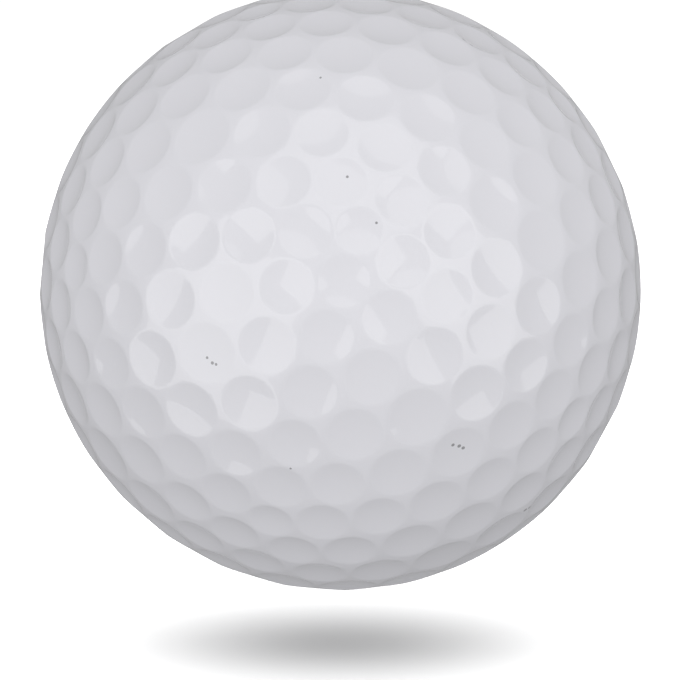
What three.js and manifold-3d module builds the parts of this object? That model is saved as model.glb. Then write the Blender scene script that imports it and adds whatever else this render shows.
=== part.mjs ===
// A golf ball that lights up when it is struck: a dimpled cover in two halves, a clear core in two halves,
// a clear capsule, and the boards, cells, LEDs and impact switch that the capsule holds.
// Millimetres, +Z up, with the origin at the centre of the ball.

import * as THREE from 'three';
import { mergeVertices } from 'three/addons/utils/BufferGeometryUtils.js';
import Module from 'manifold-3d';

// Ball and cover
const BALL_DIAMETER = 42.67;
const COVER_THICKNESS = 1.9;
const LAND_WIDTH = 0.2;
const CORNER_DIMPLE_DIAMETER = 3.28;
const DIMPLE_DEPTH = 0.2;
const SEAM_GAP = 0.08;

// Dimple lattice: steps along each edge of an icosahedron, and how far its rows are evened out (0 to 1)
const LATTICE_STEPS = 6;
const LATTICE_EVENNESS = 0.46;

// How the cover lies on the core, in degrees: spun about its pole, then tipped about Y and about X
const COVER_SPIN = 66.15;
const COVER_TIP_Y = -15.64;
const COVER_TIP_X = 8.18;

// Core and capsule
const LAYER_GAP = 0.3;
const TONGUE_WIDTH = 1.6;
const TONGUE_HEIGHT = 1.0;
const TONGUE_CLEARANCE = 0.2;
const CAPSULE_WALL = 1.4;
const CAPSULE_CLEARANCE = 0.3;
const LAP_HEIGHT = 1.0;
const LAP_CLEARANCE = 0.1;
const LEDGE_WIDTH = 0.9;
const LEDGE_HEIGHT = 0.9;

// Boards, with the LEDs at one bearing and the chips and link pins at another, in degrees
const BOARD_DIAMETER = 16.8;
const BOARD_THICKNESS = 0.8;
const PART_SPACING = 0.4;
const LED_BEARING = 0;
const CHIP_BEARING = 60;

// Coin cells, their contacts and their holder
const CELL_DIAMETER = 10.0;
const CELL_HEIGHT = 2.5;
const CELL_CAP_DIAMETER = 8.4;
const CELL_CAP_HEIGHT = 0.35;
const CELL_EDGE_RADIUS = 0.4;
const CONTACT_DIAMETER = 8.0;
const CONTACT_THICKNESS = 0.3;
const CONTACT_SLOT_WIDTH = 0.7;
const CONTACT_SLOT_SPAN = 80;
const HOLDER_DIAMETER = 15.6;
const HOLDER_CLEARANCE = 0.15;

// Pins that link the two boards
const LINK_DIAMETER = 0.8;
const LINK_SHANK_DIAMETER = 1.2;
const LINK_PROTRUSION = 0.5;
const LINK_CLEARANCE = 0.1;

// LEDs: a square base under a clear dome
const LED_WIDTH = 2.8;
const LED_BASE_HEIGHT = 0.9;
const LED_DOME_DIAMETER = 2.3;
const LED_DOME_FOOT = 0.3;

// Controller chip with six gull-wing legs
const CHIP_LENGTH = 2.9;
const CHIP_WIDTH = 1.6;
const CHIP_HEIGHT = 1.0;
const CHIP_STANDOFF = 0.1;
const CHIP_SPAN = 2.8;
const LEG_WIDTH = 0.4;
const LEG_THICKNESS = 0.16;
const LEG_PITCH = 0.95;

// Chip resistors and the chip capacitor
const RESISTOR = { length: 1.6, width: 0.8, height: 0.5, terminal: 0.3, step: 0.05 };
const CAPACITOR = { length: 2.0, width: 1.25, height: 1.1, terminal: 0.45, step: 0.06 };

// Impact switch: a coil that stands round a fixed pin under a metal can
const SWITCH_DIAMETER = 4.4;
const SWITCH_FLANGE = 0.5;
const SWITCH_BOSS_DIAMETER = 1.1;
const SWITCH_BOSS_HEIGHT = 0.5;
const SWITCH_PIN_DIAMETER = 0.6;
const SWITCH_PIN_CLEARANCE = 0.05;
const SWITCH_PIN_OVERSHOOT = 0.2;
const SPRING_DIAMETER = 2.0;
const SPRING_WIRE = 0.3;
const SPRING_PITCH = 0.8;
const SPRING_TURNS = 5;
const SPRING_SEAT_GAP = 0.3;
const CAN_RIM = 0.15;
const CAN_WALL = 0.25;
const CAN_HEADROOM = 0.5;

// Facets
const ROUND_SIDES = 20;
const SMALL_SIDES = 12;
const TINY_SIDES = 8;
const SHELL_RINGS = 5;
const SLOT_SEGMENTS = 2;
const COVER_INNER_SIDES = 30;
const COVER_INNER_RINGS = 6;
const CURL_STEPS = 8;
const WIRE_SIDES = 5;
const MERGE_TOLERANCE = 1e-4;

// Sizes that follow from those above
const ballRadius = BALL_DIAMETER / 2;
const coverBore = ballRadius - COVER_THICKNESS;
const coreRadius = coverBore - LAYER_GAP;
const boardRadius = BOARD_DIAMETER / 2;
const boardInner = CELL_HEIGHT + CONTACT_THICKNESS;
const boardOuter = boardInner + BOARD_THICKNESS;
const ledgeRadius = boardRadius - LEDGE_WIDTH;
const holderRadius = HOLDER_DIAMETER / 2;
const holderBore = CELL_DIAMETER / 2 + HOLDER_CLEARANCE;
const linkCircle = (holderRadius + holderBore) / 2;
const ledCornerReach = ledgeRadius - PART_SPACING;
const ledCircle = Math.sqrt(ledCornerReach ** 2 - (LED_WIDTH / 2) ** 2) - LED_WIDTH / 2;
const ledTop = boardOuter + LED_BASE_HEIGHT + LED_DOME_FOOT + LED_DOME_DIAMETER / 2;
const springBottom = boardOuter + SWITCH_FLANGE + SPRING_SEAT_GAP;
const springTop = springBottom + SPRING_WIRE + SPRING_TURNS * SPRING_PITCH;
const switchPinTop = springTop + SWITCH_PIN_OVERSHOOT;
const canRadius = SWITCH_DIAMETER / 2 - CAN_RIM;
const canTop = switchPinTop + CAN_HEADROOM + CAN_WALL;
const capsuleBore = CAPSULE_CLEARANCE + Math.max(
  Math.hypot(boardRadius, boardOuter),
  Math.hypot(ledCircle, ledTop),
  Math.hypot(canRadius, canTop),
);
const capsuleRadius = capsuleBore + CAPSULE_WALL;
const coreBore = capsuleRadius + LAYER_GAP;

const wasm = await Module();
wasm.setup();

// A closed, merged copy of a geometry, with faces of no area left out and the rest pointing outwards.
function closed(source) {
  const bare = new THREE.BufferGeometry();
  bare.setAttribute('position', source.getAttribute('position').clone());
  if (source.index) bare.setIndex(source.index.clone());
  const merged = mergeVertices(bare, MERGE_TOLERANCE);
  const point = (i) => new THREE.Vector3().fromBufferAttribute(merged.getAttribute('position'), i);
  const faces = [];
  let volume = 0;
  for (let i = 0; i < merged.index.count; i += 3) {
    const [a, b, c] = [0, 1, 2].map((k) => merged.index.getX(i + k));
    if (a === b || b === c || c === a) continue;
    faces.push([a, b, c]);
    volume += point(a).dot(point(b).cross(point(c)));
  }
  merged.setIndex(faces.flatMap(([a, b, c]) => (volume > 0 ? [a, b, c] : [a, c, b])));
  return merged;
}

// Joins closed geometries that overlap into one closed geometry.
function joined(...geometries) {
  const solids = geometries.map((geometry) => {
    const shell = closed(geometry);
    const vertProperties = new Float32Array(shell.getAttribute('position').array);
    const triVerts = new Uint32Array(shell.index.array);
    return new wasm.Manifold(new wasm.Mesh({ numProp: 3, vertProperties, triVerts }));
  });
  const { vertProperties, triVerts } = solids.reduce((whole, solid) => whole.add(solid)).getMesh();
  const result = new THREE.BufferGeometry();
  result.setAttribute('position', new THREE.BufferAttribute(vertProperties, 3));
  result.setIndex(new THREE.BufferAttribute(triVerts, 1));
  return result;
}

// Turns a profile of [radius, height] points about Z.
function turned(profile, sides = ROUND_SIDES) {
  const points = profile.map(([radius, height]) => new THREE.Vector2(radius, height));
  return closed(new THREE.LatheGeometry(points, sides).rotateX(Math.PI / 2));
}

// Points of an arc in a turning profile, its angles in degrees up from the equator.
function arc(radius, from, to, steps = SHELL_RINGS) {
  return Array.from({ length: steps + 1 }, (_, i) => {
    const angle = THREE.MathUtils.degToRad(from + ((to - from) * i) / steps);
    const across = radius * Math.cos(angle);
    return [Math.abs(across) < MERGE_TOLERANCE ? 0 : across, radius * Math.sin(angle)];
  });
}

// The corner radius of a faceted bore whose flats just clear a ball of the given radius.
function aroundBall(radius, sides = ROUND_SIDES, rings = SHELL_RINGS) {
  return radius / (Math.cos(Math.PI / sides) * Math.cos(Math.PI / (4 * rings)));
}

// A flat outline raised along Z from the given height.
function raised(outline, from, depth) {
  const options = { depth, bevelEnabled: false, curveSegments: SLOT_SEGMENTS };
  return closed(new THREE.ExtrudeGeometry(outline, options).translate(0, 0, from));
}

// Corners of a circle.
function circle(x, y, radius, sides) {
  return Array.from({ length: sides }, (_, i) => {
    const angle = (2 * Math.PI * i) / sides;
    return new THREE.Vector2(x + radius * Math.cos(angle), y + radius * Math.sin(angle));
  });
}

// A round outline with round holes, each given as [x, y, radius].
function disc(radius, holes, sides = ROUND_SIDES) {
  const outline = new THREE.Shape(circle(0, 0, radius, sides));
  outline.holes = holes.map(([x, y, r]) => new THREE.Path(circle(x, y, r, TINY_SIDES)));
  return outline;
}

function polygon(points) {
  return new THREE.Shape(points.map(([x, y]) => new THREE.Vector2(x, y)));
}

// Three places on a circle, 120 degrees apart.
function threePlaces(radius, startDegrees) {
  return [0, 120, 240].map((step) => {
    const angle = THREE.MathUtils.degToRad(startDegrees + step);
    return { x: radius * Math.cos(angle), y: radius * Math.sin(angle), angle };
  });
}

// The dimple lattice: an icosahedron's faces divided into LATTICE_STEPS rows, standing on a corner.
// Gives each dimple's direction and angular radius, and the triangles between neighbouring dimples.
function dimpleLattice() {
  const seed = new THREE.IcosahedronGeometry(1, 0).getAttribute('position');
  const corner = (i) => new THREE.Vector3().fromBufferAttribute(seed, i).normalize();
  const edge = corner(0).angleTo(corner(1));
  const up = corner(0);
  const side = corner(1).addScaledVector(up, -corner(1).dot(up)).normalize();
  const upright = new THREE.Matrix4().makeBasis(side, up.clone().cross(side), up).transpose();
  const weight = (t) => THREE.MathUtils.lerp(t, Math.sin(t * edge) / Math.sin(edge), LATTICE_EVENNESS);
  const dimples = [];
  const triangles = [];
  const indexOf = new Map();

  const dimpleAt = (corners, steps) => {
    const centre = new THREE.Vector3();
    steps.forEach((n, i) => centre.addScaledVector(corners[i], weight(n / LATTICE_STEPS)));
    centre.normalize().applyMatrix4(upright);
    const key = centre.toArray().map((x) => Math.round(x / MERGE_TOLERANCE)).join();
    if (!indexOf.has(key)) {
      indexOf.set(key, dimples.length);
      dimples.push({ centre, isCorner: steps.includes(LATTICE_STEPS), next: new Map() });
    }
    return indexOf.get(key);
  };

  for (let face = 0; face < seed.count; face += 3) {
    const corners = [0, 1, 2].map((k) => corner(face + k));
    const at = (i, j) => dimpleAt(corners, [LATTICE_STEPS - i - j, i, j]);
    for (let i = 0; i < LATTICE_STEPS; i++) {
      for (let j = 0; j < LATTICE_STEPS - i; j++) {
        triangles.push([at(i, j), at(i + 1, j), at(i, j + 1)]);
        if (i + j < LATTICE_STEPS - 1) triangles.push([at(i + 1, j), at(i + 1, j + 1), at(i, j + 1)]);
      }
    }
  }
  triangles.forEach((triangle, t) => triangle.forEach((a, k) => {
    dimples[a].next.set(triangle[(k + 1) % 3], { dimple: triangle[(k + 2) % 3], triangle: t });
  }));

  const land = LAND_WIDTH / ballRadius;
  const cornerRadius = Math.asin(CORNER_DIMPLE_DIAMETER / BALL_DIAMETER);
  for (const dimple of dimples) {
    const reaches = [...dimple.next.keys()].map((b) => {
      const apart = dimple.centre.angleTo(dimples[b].centre);
      return dimples[b].isCorner ? apart - cornerRadius - land : (apart - land) / 2;
    });
    dimple.radius = dimple.isCorner ? Math.min(cornerRadius, ...reaches) : Math.min(...reaches);
  }
  return { dimples, triangles };
}

// The upper half of the cover. Its parting line weaves along the land, above some dimples of the equator
// and below others, so that no dimple is cut. The lower half is the same form turned through the centre.
function coverHalf() {
  const { dimples, triangles } = dimpleLattice();
  const corners = [];
  const facet = (...points) => points.forEach((p) => corners.push(p.x, p.y, p.z));

  const bearing = (v) => Math.atan2(v.y, v.x);
  const equator = dimples.filter((d) => Math.abs(d.centre.z) < MERGE_TOLERANCE);
  equator.sort((a, b) => bearing(a.centre) - bearing(b.centre));
  dimples.forEach((d) => { d.upper = d.centre.z > MERGE_TOLERANCE; });
  equator.forEach((d, i) => { d.upper = i % 2 === 0; });

  // Where the planes of three neighbouring rims meet, as a direction: the middle of the land among them.
  const middles = triangles.map((triangle) => {
    const [a, b, c] = triangle.map((i) => dimples[i]);
    return new THREE.Vector3()
      .addScaledVector(b.centre.clone().cross(c.centre), Math.cos(a.radius))
      .addScaledVector(c.centre.clone().cross(a.centre), Math.cos(b.radius))
      .addScaledVector(a.centre.clone().cross(b.centre), Math.cos(c.radius))
      .normalize();
  });

  // The point on a dimple's rim that faces a direction.
  const rim = (dimple, towards) => {
    const across = towards.clone().addScaledVector(dimple.centre, -towards.dot(dimple.centre)).normalize();
    return dimple.centre.clone().multiplyScalar(ballRadius * Math.cos(dimple.radius))
      .addScaledVector(across, ballRadius * Math.sin(dimple.radius));
  };

  // A point of the parting line: the middle of a triangle's land, drawn back by half of the seam's gap.
  const seam = triangles.map((triangle, t) => {
    const away = new THREE.Vector3();
    for (const isUpper of [true, false]) {
      const group = triangle.map((i) => dimples[i]).filter((d) => d.upper === isUpper);
      group.forEach((d) => away.addScaledVector(d.centre, (isUpper ? 1 : -1) / group.length));
    }
    away.addScaledVector(middles[t], -away.dot(middles[t])).normalize();
    return middles[t].clone().multiplyScalar(ballRadius).addScaledVector(away, SEAM_GAP / 2);
  });

  // Bowls, one for each dimple
  for (const dimple of dimples.filter((d) => d.upper)) {
    const bottom = dimple.centre.clone().multiplyScalar(ballRadius * Math.cos(dimple.radius) - DIMPLE_DEPTH);
    for (const [b, { dimple: c, triangle }] of dimple.next) {
      const facing = rim(dimple, middles[triangle]);
      facet(bottom, rim(dimple, dimples[b].centre), facing);
      facet(bottom, facing, rim(dimple, dimples[c].centre));
    }
  }

  // Land among three dimples
  triangles.forEach((triangle, t) => {
    const points = triangle.map((i) => (dimples[i].upper ? rim(dimples[i], middles[t]) : seam[t]));
    if (triangle.filter((i) => dimples[i].upper).length >= 2) facet(...points);
  });

  // Land between two dimples, whole or as far as the parting line
  const partingSteps = new Map();
  dimples.forEach((a, i) => a.next.forEach(({ triangle: left }, j) => {
    const b = dimples[j];
    const right = b.next.get(i).triangle;
    if (!a.upper || (b.upper && j < i)) return;
    const aMid = rim(a, b.centre);
    const aLeft = rim(a, middles[left]);
    const aRight = rim(a, middles[right]);
    const bLeft = b.upper ? rim(b, middles[left]) : seam[left];
    const bRight = b.upper ? rim(b, middles[right]) : seam[right];
    facet(aMid, aRight, bRight);
    facet(aMid, bLeft, aLeft);
    if (b.upper) {
      const bMid = rim(b, a.centre);
      facet(aMid, bRight, bMid);
      facet(aMid, bMid, bLeft);
    } else {
      facet(aMid, bRight, bLeft);
      partingSteps.set(right, left);
    }
  }));

  // Inside of the half, down to the seam
  const bore = aroundBall(coverBore, COVER_INNER_SIDES, COVER_INNER_RINGS);
  const turnAt = (i) => -Math.PI + (2 * Math.PI * i) / COVER_INNER_SIDES;
  const ring = (k) => Array.from({ length: COVER_INNER_SIDES }, (_, i) => {
    const down = (Math.PI / 2) * (k / COVER_INNER_RINGS);
    const across = bore * Math.sin(down);
    const height = k === COVER_INNER_RINGS ? SEAM_GAP / 2 : bore * Math.cos(down);
    return new THREE.Vector3(across * Math.cos(turnAt(i)), across * Math.sin(turnAt(i)), height);
  });
  const top = new THREE.Vector3(0, 0, bore);
  for (let k = 1; k <= COVER_INNER_RINGS; k++) {
    const upper = k > 1 ? ring(k - 1) : null;
    const lower = ring(k);
    for (let i = 0; i < COVER_INNER_SIDES; i++) {
      const j = (i + 1) % COVER_INNER_SIDES;
      facet(upper ? upper[i] : top, lower[j], lower[i]);
      if (upper) facet(upper[i], upper[j], lower[j]);
    }
  }

  // Parting face: from the parting line in to the edge of the bore, both walked round once by bearing
  const inner = ring(COVER_INNER_RINGS);
  const start = [...partingSteps.keys()].reduce((a, b) => (bearing(seam[a]) < bearing(seam[b]) ? a : b));
  let here = start;
  let side = 0;
  let stepsLeft = partingSteps.size;
  while (stepsLeft > 0 || side < COVER_INNER_SIDES) {
    const next = partingSteps.get(here);
    const ahead = stepsLeft > 1 ? bearing(seam[next]) : Math.PI;
    if (side < COVER_INNER_SIDES && (stepsLeft === 0 || turnAt(side + 1) < ahead)) {
      facet(inner[side], inner[(side + 1) % COVER_INNER_SIDES], seam[here]);
      side += 1;
    } else {
      facet(seam[next], seam[here], inner[side % COVER_INNER_SIDES]);
      here = next;
      stepsLeft -= 1;
    }
  }

  const shell = new THREE.BufferGeometry();
  shell.setAttribute('position', new THREE.Float32BufferAttribute(corners, 3));
  return closed(shell);
}

// A half of the core, with a tongue round its parting face that enters a groove in the other half.
function coreHalf(isUpper) {
  const bore = aroundBall(coreBore);
  const middle = (coreRadius + coreBore) / 2;
  const spare = isUpper ? TONGUE_CLEARANCE : 0;
  const half = TONGUE_WIDTH / 2 + spare;
  const step = TONGUE_HEIGHT + spare;
  const side = isUpper ? 90 : -90;
  const tongue = [[middle + half, 0], [middle + half, step], [middle - half, step], [middle - half, 0]];
  return turned([...arc(coreRadius, side, 0), ...tongue, ...arc(bore, 0, side)]);
}

// A half of the capsule, with a ledge that a board seats on and a lap joint where the halves meet.
function capsuleHalf(isUpper) {
  const bore = aroundBall(capsuleBore);
  const side = isUpper ? 1 : -1;
  const angleAt = (height) => THREE.MathUtils.radToDeg(Math.asin(height / bore));
  const lapRadius = capsuleBore + CAPSULE_WALL / 2 + (isUpper ? LAP_CLEARANCE : -LAP_CLEARANCE) / 2;
  const lapTop = LAP_HEIGHT + (isUpper ? LAP_CLEARANCE : 0);
  const ledgeTop = boardOuter + LEDGE_HEIGHT;
  const chamber = arc(bore, isUpper ? angleAt(lapTop) : 0, side * angleAt(boardOuter), 2);
  const lip = isUpper ? [] : [[bore, lapTop]];
  const ledge = [[ledgeRadius, side * boardOuter], [ledgeRadius, side * ledgeTop]];
  const dome = arc(bore, side * angleAt(ledgeTop), side * 90, SHELL_RINGS - 1);
  return turned([
    ...arc(capsuleRadius, side * 90, 0),
    [lapRadius, 0],
    [lapRadius, lapTop],
    ...lip,
    ...chamber,
    ...ledge,
    ...dome,
  ]);
}

// A board: a round panel with a hole for each link pin.
function board(from) {
  const linkHole = LINK_DIAMETER / 2 + LINK_CLEARANCE;
  const holes = threePlaces(linkCircle, CHIP_BEARING).map(({ x, y }) => [x, y, linkHole]);
  return raised(disc(boardRadius, holes), from, BOARD_THICKNESS);
}

// The ring that centres the cells between the boards, with a hole for each link pin.
function cellHolder() {
  const linkHole = LINK_SHANK_DIAMETER / 2 + HOLDER_CLEARANCE;
  const holes = threePlaces(linkCircle, CHIP_BEARING).map(({ x, y }) => [x, y, linkHole]);
  const outline = disc(holderRadius, holes);
  outline.holes.push(new THREE.Path(circle(0, 0, holderBore, ROUND_SIDES)));
  return raised(outline, -boardInner, 2 * boardInner);
}

// A coin cell with its narrower cap at the bottom and its can, rounded at the edge, on top.
function coinCell(from) {
  const edge = CELL_DIAMETER / 2 - CELL_EDGE_RADIUS;
  const shoulder = from + CELL_HEIGHT - CELL_EDGE_RADIUS;
  const rounding = arc(CELL_EDGE_RADIUS, 0, 90, 3).map(([r, h]) => [edge + r, shoulder + h]);
  return turned([
    [0, from],
    [CELL_CAP_DIAMETER / 2, from],
    [CELL_CAP_DIAMETER / 2, from + CELL_CAP_HEIGHT],
    [CELL_DIAMETER / 2, from + CELL_CAP_HEIGHT],
    ...rounding,
    [0, from + CELL_HEIGHT],
  ]);
}

// A stamped contact plate with three curved slots that leave springy bridges.
function contactPlate(from) {
  const outline = disc(CONTACT_DIAMETER / 2, []);
  const middle = CONTACT_DIAMETER / 4 + CONTACT_SLOT_WIDTH / 2;
  const span = THREE.MathUtils.degToRad(CONTACT_SLOT_SPAN) / 2;
  outline.holes = threePlaces(middle, LED_BEARING).map(({ angle }) => new THREE.Path()
    .absarc(0, 0, middle + CONTACT_SLOT_WIDTH / 2, angle - span, angle + span, false)
    .absarc(0, 0, middle - CONTACT_SLOT_WIDTH / 2, angle + span, angle - span, true));
  return raised(outline, from, CONTACT_THICKNESS);
}

// A pin that links the boards: a thick shank between them and a thinner end through each.
function linkPin() {
  const thin = LINK_DIAMETER / 2;
  const thick = LINK_SHANK_DIAMETER / 2;
  const end = boardOuter + LINK_PROTRUSION;
  return turned([
    [0, -end], [thin, -end], [thin, -boardInner], [thick, -boardInner],
    [thick, boardInner], [thin, boardInner], [thin, end], [0, end],
  ], TINY_SIDES);
}

// An LED that stands on Z = 0: a square base joined to a round dome.
function led() {
  const half = LED_WIDTH / 2;
  const square = polygon([[-half, -half], [half, -half], [half, half], [-half, half]]);
  const base = raised(square, 0, LED_BASE_HEIGHT);
  const radius = LED_DOME_DIAMETER / 2;
  const sunk = LED_BASE_HEIGHT / 2;
  const cap = arc(radius, 0, 90, 3).map(([r, h]) => [r, LED_BASE_HEIGHT + LED_DOME_FOOT + h]);
  return joined(base, turned([[0, sunk], [radius, sunk], ...cap], SMALL_SIDES));
}

// The controller chip on Z = 0: a body joined to three legs on each long side.
function controllerChip() {
  const x = CHIP_LENGTH / 2;
  const y = CHIP_WIDTH / 2;
  const body = raised(polygon([[-x, -y], [x, -y], [x, y], [-x, y]]), CHIP_STANDOFF, CHIP_HEIGHT);
  const reach = CHIP_SPAN / 2;
  const bend = (reach + y) / 2;
  const rise = CHIP_STANDOFF + CHIP_HEIGHT / 2;
  const profile = polygon([
    [0, rise], [bend, rise], [bend, LEG_THICKNESS], [reach, LEG_THICKNESS], [reach, 0],
    [bend - LEG_THICKNESS, 0], [bend - LEG_THICKNESS, rise - LEG_THICKNESS], [0, rise - LEG_THICKNESS],
  ]);
  const legs = [];
  for (const turn of [0, Math.PI]) {
    for (const place of [-LEG_PITCH, 0, LEG_PITCH]) {
      const leg = raised(profile, -LEG_WIDTH / 2, LEG_WIDTH);
      legs.push(leg.rotateX(Math.PI / 2).rotateZ(Math.PI / 2 + turn).translate(place, 0, 0));
    }
  }
  return joined(body, ...legs);
}

// A chip resistor or capacitor on Z = 0, with a raised terminal at each end.
function chipPart({ length, width, height, terminal, step }) {
  const end = length / 2;
  const shoulder = end - terminal;
  const outline = polygon([
    [-end, 0], [-shoulder, 0], [-shoulder, step], [shoulder, step], [shoulder, 0], [end, 0],
    [end, height], [shoulder, height], [shoulder, height - step],
    [-shoulder, height - step], [-shoulder, height], [-end, height],
  ]);
  return raised(outline, -width / 2, width).rotateX(Math.PI / 2);
}

// The switch's base: a flange with a boss, bored for the pin.
function switchBase() {
  const bore = SWITCH_PIN_DIAMETER / 2 + SWITCH_PIN_CLEARANCE;
  const flange = boardOuter + SWITCH_FLANGE;
  const boss = flange + SWITCH_BOSS_HEIGHT;
  return turned([
    [bore, boardOuter], [SWITCH_DIAMETER / 2, boardOuter], [SWITCH_DIAMETER / 2, flange],
    [SWITCH_BOSS_DIAMETER / 2, flange], [SWITCH_BOSS_DIAMETER / 2, boss], [bore, boss], [bore, boardOuter],
  ], SMALL_SIDES);
}

function switchPin() {
  const radius = SWITCH_PIN_DIAMETER / 2;
  const profile = [[0, boardOuter], [radius, boardOuter], [radius, switchPinTop], [0, switchPinTop]];
  return turned(profile, TINY_SIDES);
}

// The switch's can: a thin cup that stands upside down on the flange.
function switchCan() {
  const foot = boardOuter + SWITCH_FLANGE;
  const bore = canRadius - CAN_WALL;
  return turned([
    [0, canTop], [canRadius, canTop], [canRadius, foot],
    [bore, foot], [bore, canTop - CAN_WALL], [0, canTop - CAN_WALL],
  ], SMALL_SIDES);
}

// The centre line of the switch's coil.
class Coil extends THREE.Curve {
  getPoint(t, target = new THREE.Vector3()) {
    const angle = 2 * Math.PI * SPRING_TURNS * t;
    const radius = SPRING_DIAMETER / 2;
    const height = springBottom + SPRING_WIRE / 2 + SPRING_TURNS * SPRING_PITCH * t;
    return target.set(radius * Math.cos(angle), radius * Math.sin(angle), height);
  }
}

// The switch's coil spring, one unbroken wire. Prints the least gap between neighbouring turns.
function switchSpring() {
  const section = new THREE.Shape(Array.from({ length: WIRE_SIDES }, (_, i) => {
    const angle = (2 * Math.PI * i) / WIRE_SIDES;
    return new THREE.Vector2((SPRING_WIRE / 2) * Math.cos(angle), (SPRING_WIRE / 2) * Math.sin(angle));
  }));
  const steps = CURL_STEPS * SPRING_TURNS;
  const path = new Coil();
  const wire = new THREE.ExtrudeGeometry(section, { steps, bevelEnabled: false, extrudePath: path });
  const centres = path.getSpacedPoints(steps);
  let least = Infinity;
  centres.forEach((a, i) => centres.slice(i + CURL_STEPS / 2).forEach((b) => {
    least = Math.min(least, a.distanceTo(b) - SPRING_WIRE);
  }));
  console.log(`switch_spring: least gap to itself ${least.toFixed(2)} mm`);
  return closed(wire);
}

function finish(color, roughness, metalness = 0, opacity = 1) {
  return new THREE.MeshStandardMaterial({ color, roughness, metalness, opacity, transparent: opacity < 1 });
}

const finishes = {
  cover: finish(0xf2f3f2, 0.25),
  core: finish(0xeef2f0, 0.1, 0, 0.45),
  capsule: finish(0xf2f5f8, 0.08, 0, 0.35),
  board: finish(0x1f6b3a, 0.55),
  holder: finish(0x202225, 0.6),
  cell: finish(0xc4c6c8, 0.3, 1),
  contact: finish(0xc9a85a, 0.35, 1),
  led: finish(0xf0f4f2, 0.12),
  chip: finish(0x18191b, 0.5),
  resistor: finish(0x24262a, 0.45),
  capacitor: finish(0xb08a5c, 0.5),
  switchBase: finish(0x2a2c30, 0.55),
  steel: finish(0xbfc2c5, 0.25, 1),
  can: finish(0xd0c08a, 0.3, 1),
};

function mesh(name, geometry, material) {
  const piece = new THREE.Mesh(geometry, material.clone());
  piece.name = name;
  return piece;
}

// A piece that stands on the outer face of the upper or the lower board, turned to face out from the middle.
function mounted(name, geometry, material, { x, y, angle }, isUpper) {
  const piece = mesh(name, isUpper ? geometry : geometry.clone().rotateX(Math.PI), material);
  piece.position.set(x, y, isUpper ? boardOuter : -boardOuter);
  piece.rotation.z = angle;
  return piece;
}

function coverGroup() {
  const group = new THREE.Group();
  const [spin, tipY, tipX] = [COVER_SPIN, COVER_TIP_Y, COVER_TIP_X].map(THREE.MathUtils.degToRad);
  group.rotation.set(tipX, tipY, spin, 'XYZ');
  const upper = coverHalf();
  const lower = closed(upper.clone().scale(-1, -1, -1));
  group.add(mesh('cover_upper', upper, finishes.cover), mesh('cover_lower', lower, finishes.cover));
  return group;
}

function shellGroup() {
  const group = new THREE.Group();
  for (const [name, isUpper] of [['upper', true], ['lower', false]]) {
    group.add(mesh(`core_${name}`, coreHalf(isUpper), finishes.core));
    group.add(mesh(`capsule_${name}`, capsuleHalf(isUpper), finishes.capsule));
  }
  return group;
}

function powerGroup() {
  const group = new THREE.Group();
  group.add(
    mesh('upper_board', board(boardInner), finishes.board),
    mesh('lower_board', board(-boardOuter), finishes.board),
    mesh('cell_holder', cellHolder(), finishes.holder),
    mesh('upper_cell', coinCell(0), finishes.cell),
    mesh('lower_cell', coinCell(-CELL_HEIGHT), finishes.cell),
    mesh('upper_contact', contactPlate(CELL_HEIGHT), finishes.contact),
    mesh('lower_contact', contactPlate(-boardInner), finishes.contact),
  );
  threePlaces(linkCircle, CHIP_BEARING).forEach(({ x, y }, i) => {
    const pin = mesh(`link_pin_${i + 1}`, linkPin(), finishes.steel);
    pin.position.set(x, y, 0);
    group.add(pin);
  });
  return group;
}

function lampGroup() {
  const group = new THREE.Group();
  const lamp = led();
  threePlaces(ledCircle, LED_BEARING).forEach((place, i) => {
    group.add(mounted(`led_upper_${i + 1}`, lamp, finishes.led, place, true));
    group.add(mounted(`led_lower_${i + 1}`, lamp, finishes.led, place, false));
  });
  return group;
}

// Chips stand between the LEDs, lengthways across the radius, just outside the switch.
function chipGroup() {
  const group = new THREE.Group();
  const inside = SWITCH_DIAMETER / 2 + PART_SPACING;
  const across = ({ x, y, angle }) => ({ x, y, angle: angle + Math.PI / 2 });
  const spots = (width) => threePlaces(inside + width / 2, CHIP_BEARING).map(across);
  const resistor = chipPart(RESISTOR);
  group.add(
    mounted('controller_chip', controllerChip(), finishes.chip, spots(CHIP_SPAN)[0], true),
    mounted('timing_capacitor', chipPart(CAPACITOR), finishes.capacitor, spots(CAPACITOR.width)[1], true),
    mounted('timing_resistor', resistor, finishes.resistor, spots(RESISTOR.width)[2], true),
  );
  spots(RESISTOR.width).forEach((place, i) => {
    group.add(mounted(`led_resistor_${i + 1}`, resistor, finishes.resistor, place, false));
  });
  return group;
}

function switchGroup() {
  const group = new THREE.Group();
  group.add(
    mesh('switch_base', switchBase(), finishes.switchBase),
    mesh('switch_pin', switchPin(), finishes.steel),
    mesh('switch_spring', switchSpring(), finishes.steel),
    mesh('switch_can', switchCan(), finishes.can),
  );
  return group;
}

const ball = new THREE.Group();
ball.add(coverGroup(), shellGroup(), powerGroup(), lampGroup(), chipGroup(), switchGroup());

export default ball;
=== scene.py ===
"""A light-up golf ball: its dimpled cover, its clear shells, and the lamps, cells and switch sealed inside.

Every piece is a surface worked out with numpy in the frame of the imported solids: the origin is the centre of
the ball, +Z is up and -Y faces the viewer. Sizes of the ball are in millimetres, as on a drawing, and the
meshes are in metres. Sizes of the studio are in metres.
"""

import logging
import math
from dataclasses import dataclass, replace
from enum import Enum
from itertools import combinations
from typing import Mapping, NamedTuple, Optional, Sequence, Union

import bpy
import numpy as np
from bpy.types import Material, NodeSocket, NodeTree, Object
from mathutils import Matrix, Vector
from mathutils.geometry import tessellate_polygon

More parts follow.
